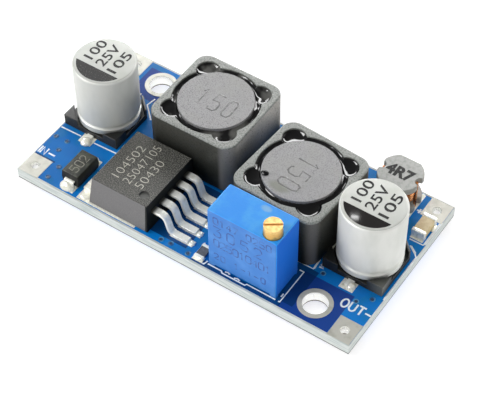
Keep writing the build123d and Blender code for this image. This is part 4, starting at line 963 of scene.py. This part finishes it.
# Painted shade: the +X end is a darker blue.
shade = housing.blend(shade, seen(26, 102, 212), shaded_end_face * 0.9)
housing.paint(shade, front_painted_sheen, front_face)
housing.relief(housing.grain(0.25, detail=2.0), 0.01)
dress("adjuster_housing", housing, edge=0.02)
dress("adjuster_base_seal", housing)
front = Matrix.Translation((0, low.y, 0)) @ Matrix.Rotation(math.radians(90), 4, "X")
PRINT_ROWS = [
    ("0147 0250", 1.1, 0.92, 9.7), ("3052", 1.7, 1.9, 7.5), ("025010401", 1.25, 0.9, 5.6),
    ("20 1-1-0", 1.0, 0.95, 3.2),
]
print_rows = []
for text, height, pitch, z in PRINT_ROWS:
    print_rows += written(text, height, pitch, (low.x + PRINT_INSET, z))
faint = Finish("faint blue print", seen(44, 92, 172), 0.5)
faint.paint(seen(30, 78, 160), seen(60, 120, 200), faint.grain(0.7).ramp(0.42, 0.66))
print_beads = bead_lines("adjuster_print", print_rows, PRINT_LINE, PRINT_RELIEF, front)
add_piece("adjuster_print", print_beads, faint)

brass = Finish("turned brass", seen(238, 204, 124), 0.3, Metallic=0.5)
turning = brass.grain(0.4, detail=2.0, stretch=(1.0, 1.0, 0.3))
HEAD_LIT = (-0.9, -0.1)
screw_top = size_of("adjuster_screw")[1].z
brass_face = brass.blend(seen(240, 204, 132), seen(208, 166, 94), turning.ramp(0.4, 0.75))
# Painted shade: the head darkens towards its bottom.
lit = brass.z.ramp(screw_top + HEAD_LIT[0], screw_top + HEAD_LIT[1])
brass.paint(seen(224, 176, 92), brass_face, lit)
brass.relief(turning, 0.004)
dress("adjuster_screw", brass, edge=0.05)

rubber = Finish("seal rubber", seen(22, 22, 22), 0.7)
rubber.paint(seen(20, 20, 20), seen(44, 44, 44), rubber.grain(0.2))
dress("adjuster_seal_ring", rubber)
nylon = Finish("white nylon", seen(232, 230, 222), 0.45)
nylon.paint(seen(236, 234, 226), seen(214, 210, 198), nylon.grain(0.6))
dress("adjuster_wheel", nylon)
alumina = Finish("fired alumina", seen(238, 236, 230), 0.5)
alumina.paint(seen(240, 238, 232), seen(206, 202, 192), alumina.grain(0.4))
dress("adjuster_element", alumina)
for node in ("adjuster_clip", "adjuster_wiper", "adjuster_pins", "adjuster_solder"):
    dress(node, bright_tin)


# The studio: a white light table under the board's pins, a soft light from the left
# and a weak one from the right, and a camera that looks down on the board. The
# lights that are only for gloss put the glints on glue, metal and glossy print.
FLOOR_SIZE = 3.0
floor_shape = bmesh.new()
bmesh.ops.create_grid(floor_shape, x_segments=1, y_segments=1, size=FLOOR_SIZE / 2)
bmesh.ops.translate(floor_shape, verts=floor_shape.verts, vec=(0, 0, cad_box[0][2]))
floor = bpy.data.objects.new("floor", finished("floor", floor_shape))
bpy.context.scene.collection.objects.link(floor)
paper = Finish(
    "white light table", (0.5, 0.5, 0.5, 1.0), 0.9,
    Emission_Color=(1.0, 1.0, 1.0, 1.0), Emission_Strength=0.7,
)
floor.data.materials.append(paper.material)

ROOM_DARK = 0.26
ROOM_BRIGHT = 0.88
BRIGHT_SIDE = (-0.85, -0.45, 0.2)
world = bpy.data.worlds.new("studio")
world.use_nodes = True
room = world.node_tree
toward = room.nodes.new("ShaderNodeVectorMath")
toward.operation = "DOT_PRODUCT"
toward.inputs[1].default_value = BRIGHT_SIDE
fade = room.nodes.new("ShaderNodeMapRange")
fade.inputs["From Min"].default_value = -1.0
fade.inputs["To Min"].default_value = ROOM_DARK
fade.inputs["To Max"].default_value = ROOM_BRIGHT
direction = room.nodes.new("ShaderNodeTexCoord")
room.links.new(direction.outputs["Generated"], toward.inputs[0])
room.links.new(toward.outputs["Value"], fade.inputs["Value"])
room.links.new(fade.outputs[0], room.nodes["Background"].inputs["Strength"])
room.nodes["Background"].inputs["Color"].default_value = (1.0, 1.0, 1.0, 1.0)
bpy.context.scene.world = world


def add_light(name, place, width, height, power, only_gloss=False):
    """A flat light that shines on the board. One that is only for gloss shows in reflections alone."""
    lamp = bpy.data.lights.new(name, "AREA")
    lamp.shape = "RECTANGLE"
    lamp.size = width
    lamp.size_y = height
    lamp.energy = power
    light = bpy.data.objects.new(name, lamp)
    bpy.context.scene.collection.objects.link(light)
    light.location = place
    light.rotation_euler = Vector(place).to_track_quat("Z", "Y").to_euler()
    light.visible_diffuse = not only_gloss


add_light("key", (-0.632, -0.45, 0.632), 0.32, 0.32, 2.8)
add_light("front_gloss", (-0.5, -0.6, 0.6), 0.9, 0.26, 24.0, only_gloss=True)
add_light("back_gloss", (-0.26, 0.74, 0.45), 1.5, 0.22, 28.0, only_gloss=True)
add_light("right", (0.68, 0.48, 0.31), 0.6, 0.4, 1.5)
add_light("right_gloss", (0.68, 0.48, 0.31), 0.6, 0.4, 3.0, only_gloss=True)
add_light("glint", (-0.116, 0.25, 0.358), 0.003, 0.0012, 0.0004, only_gloss=True)

AZIMUTH = 33.9926
ELEVATION = 50.1855
ROLL = -0.1913
FOCAL_PIXELS = 1588.07
PHOTO_WIDTH = 500
SENSOR = 36.0
CAMERA_MM = Vector((73.634, -105.610, 151.990))
camera_data = bpy.data.cameras.new("camera")
camera_data.sensor_width = SENSOR
camera_data.lens = FOCAL_PIXELS / PHOTO_WIDTH * SENSOR
camera_data.clip_start = MM
camera = bpy.data.objects.new("camera", camera_data)
bpy.context.scene.collection.objects.link(camera)
around = Matrix.Rotation(math.radians(AZIMUTH), 4, "Z")
tilt = Matrix.Rotation(math.radians(90 - ELEVATION), 4, "X")
roll = Matrix.Rotation(math.radians(ROLL), 4, "Z")
camera.matrix_world = Matrix.Translation(CAMERA_MM * MM) @ around @ tilt @ roll
bpy.context.scene.camera = camera
bpy.context.scene.view_settings.view_transform = "Standard"
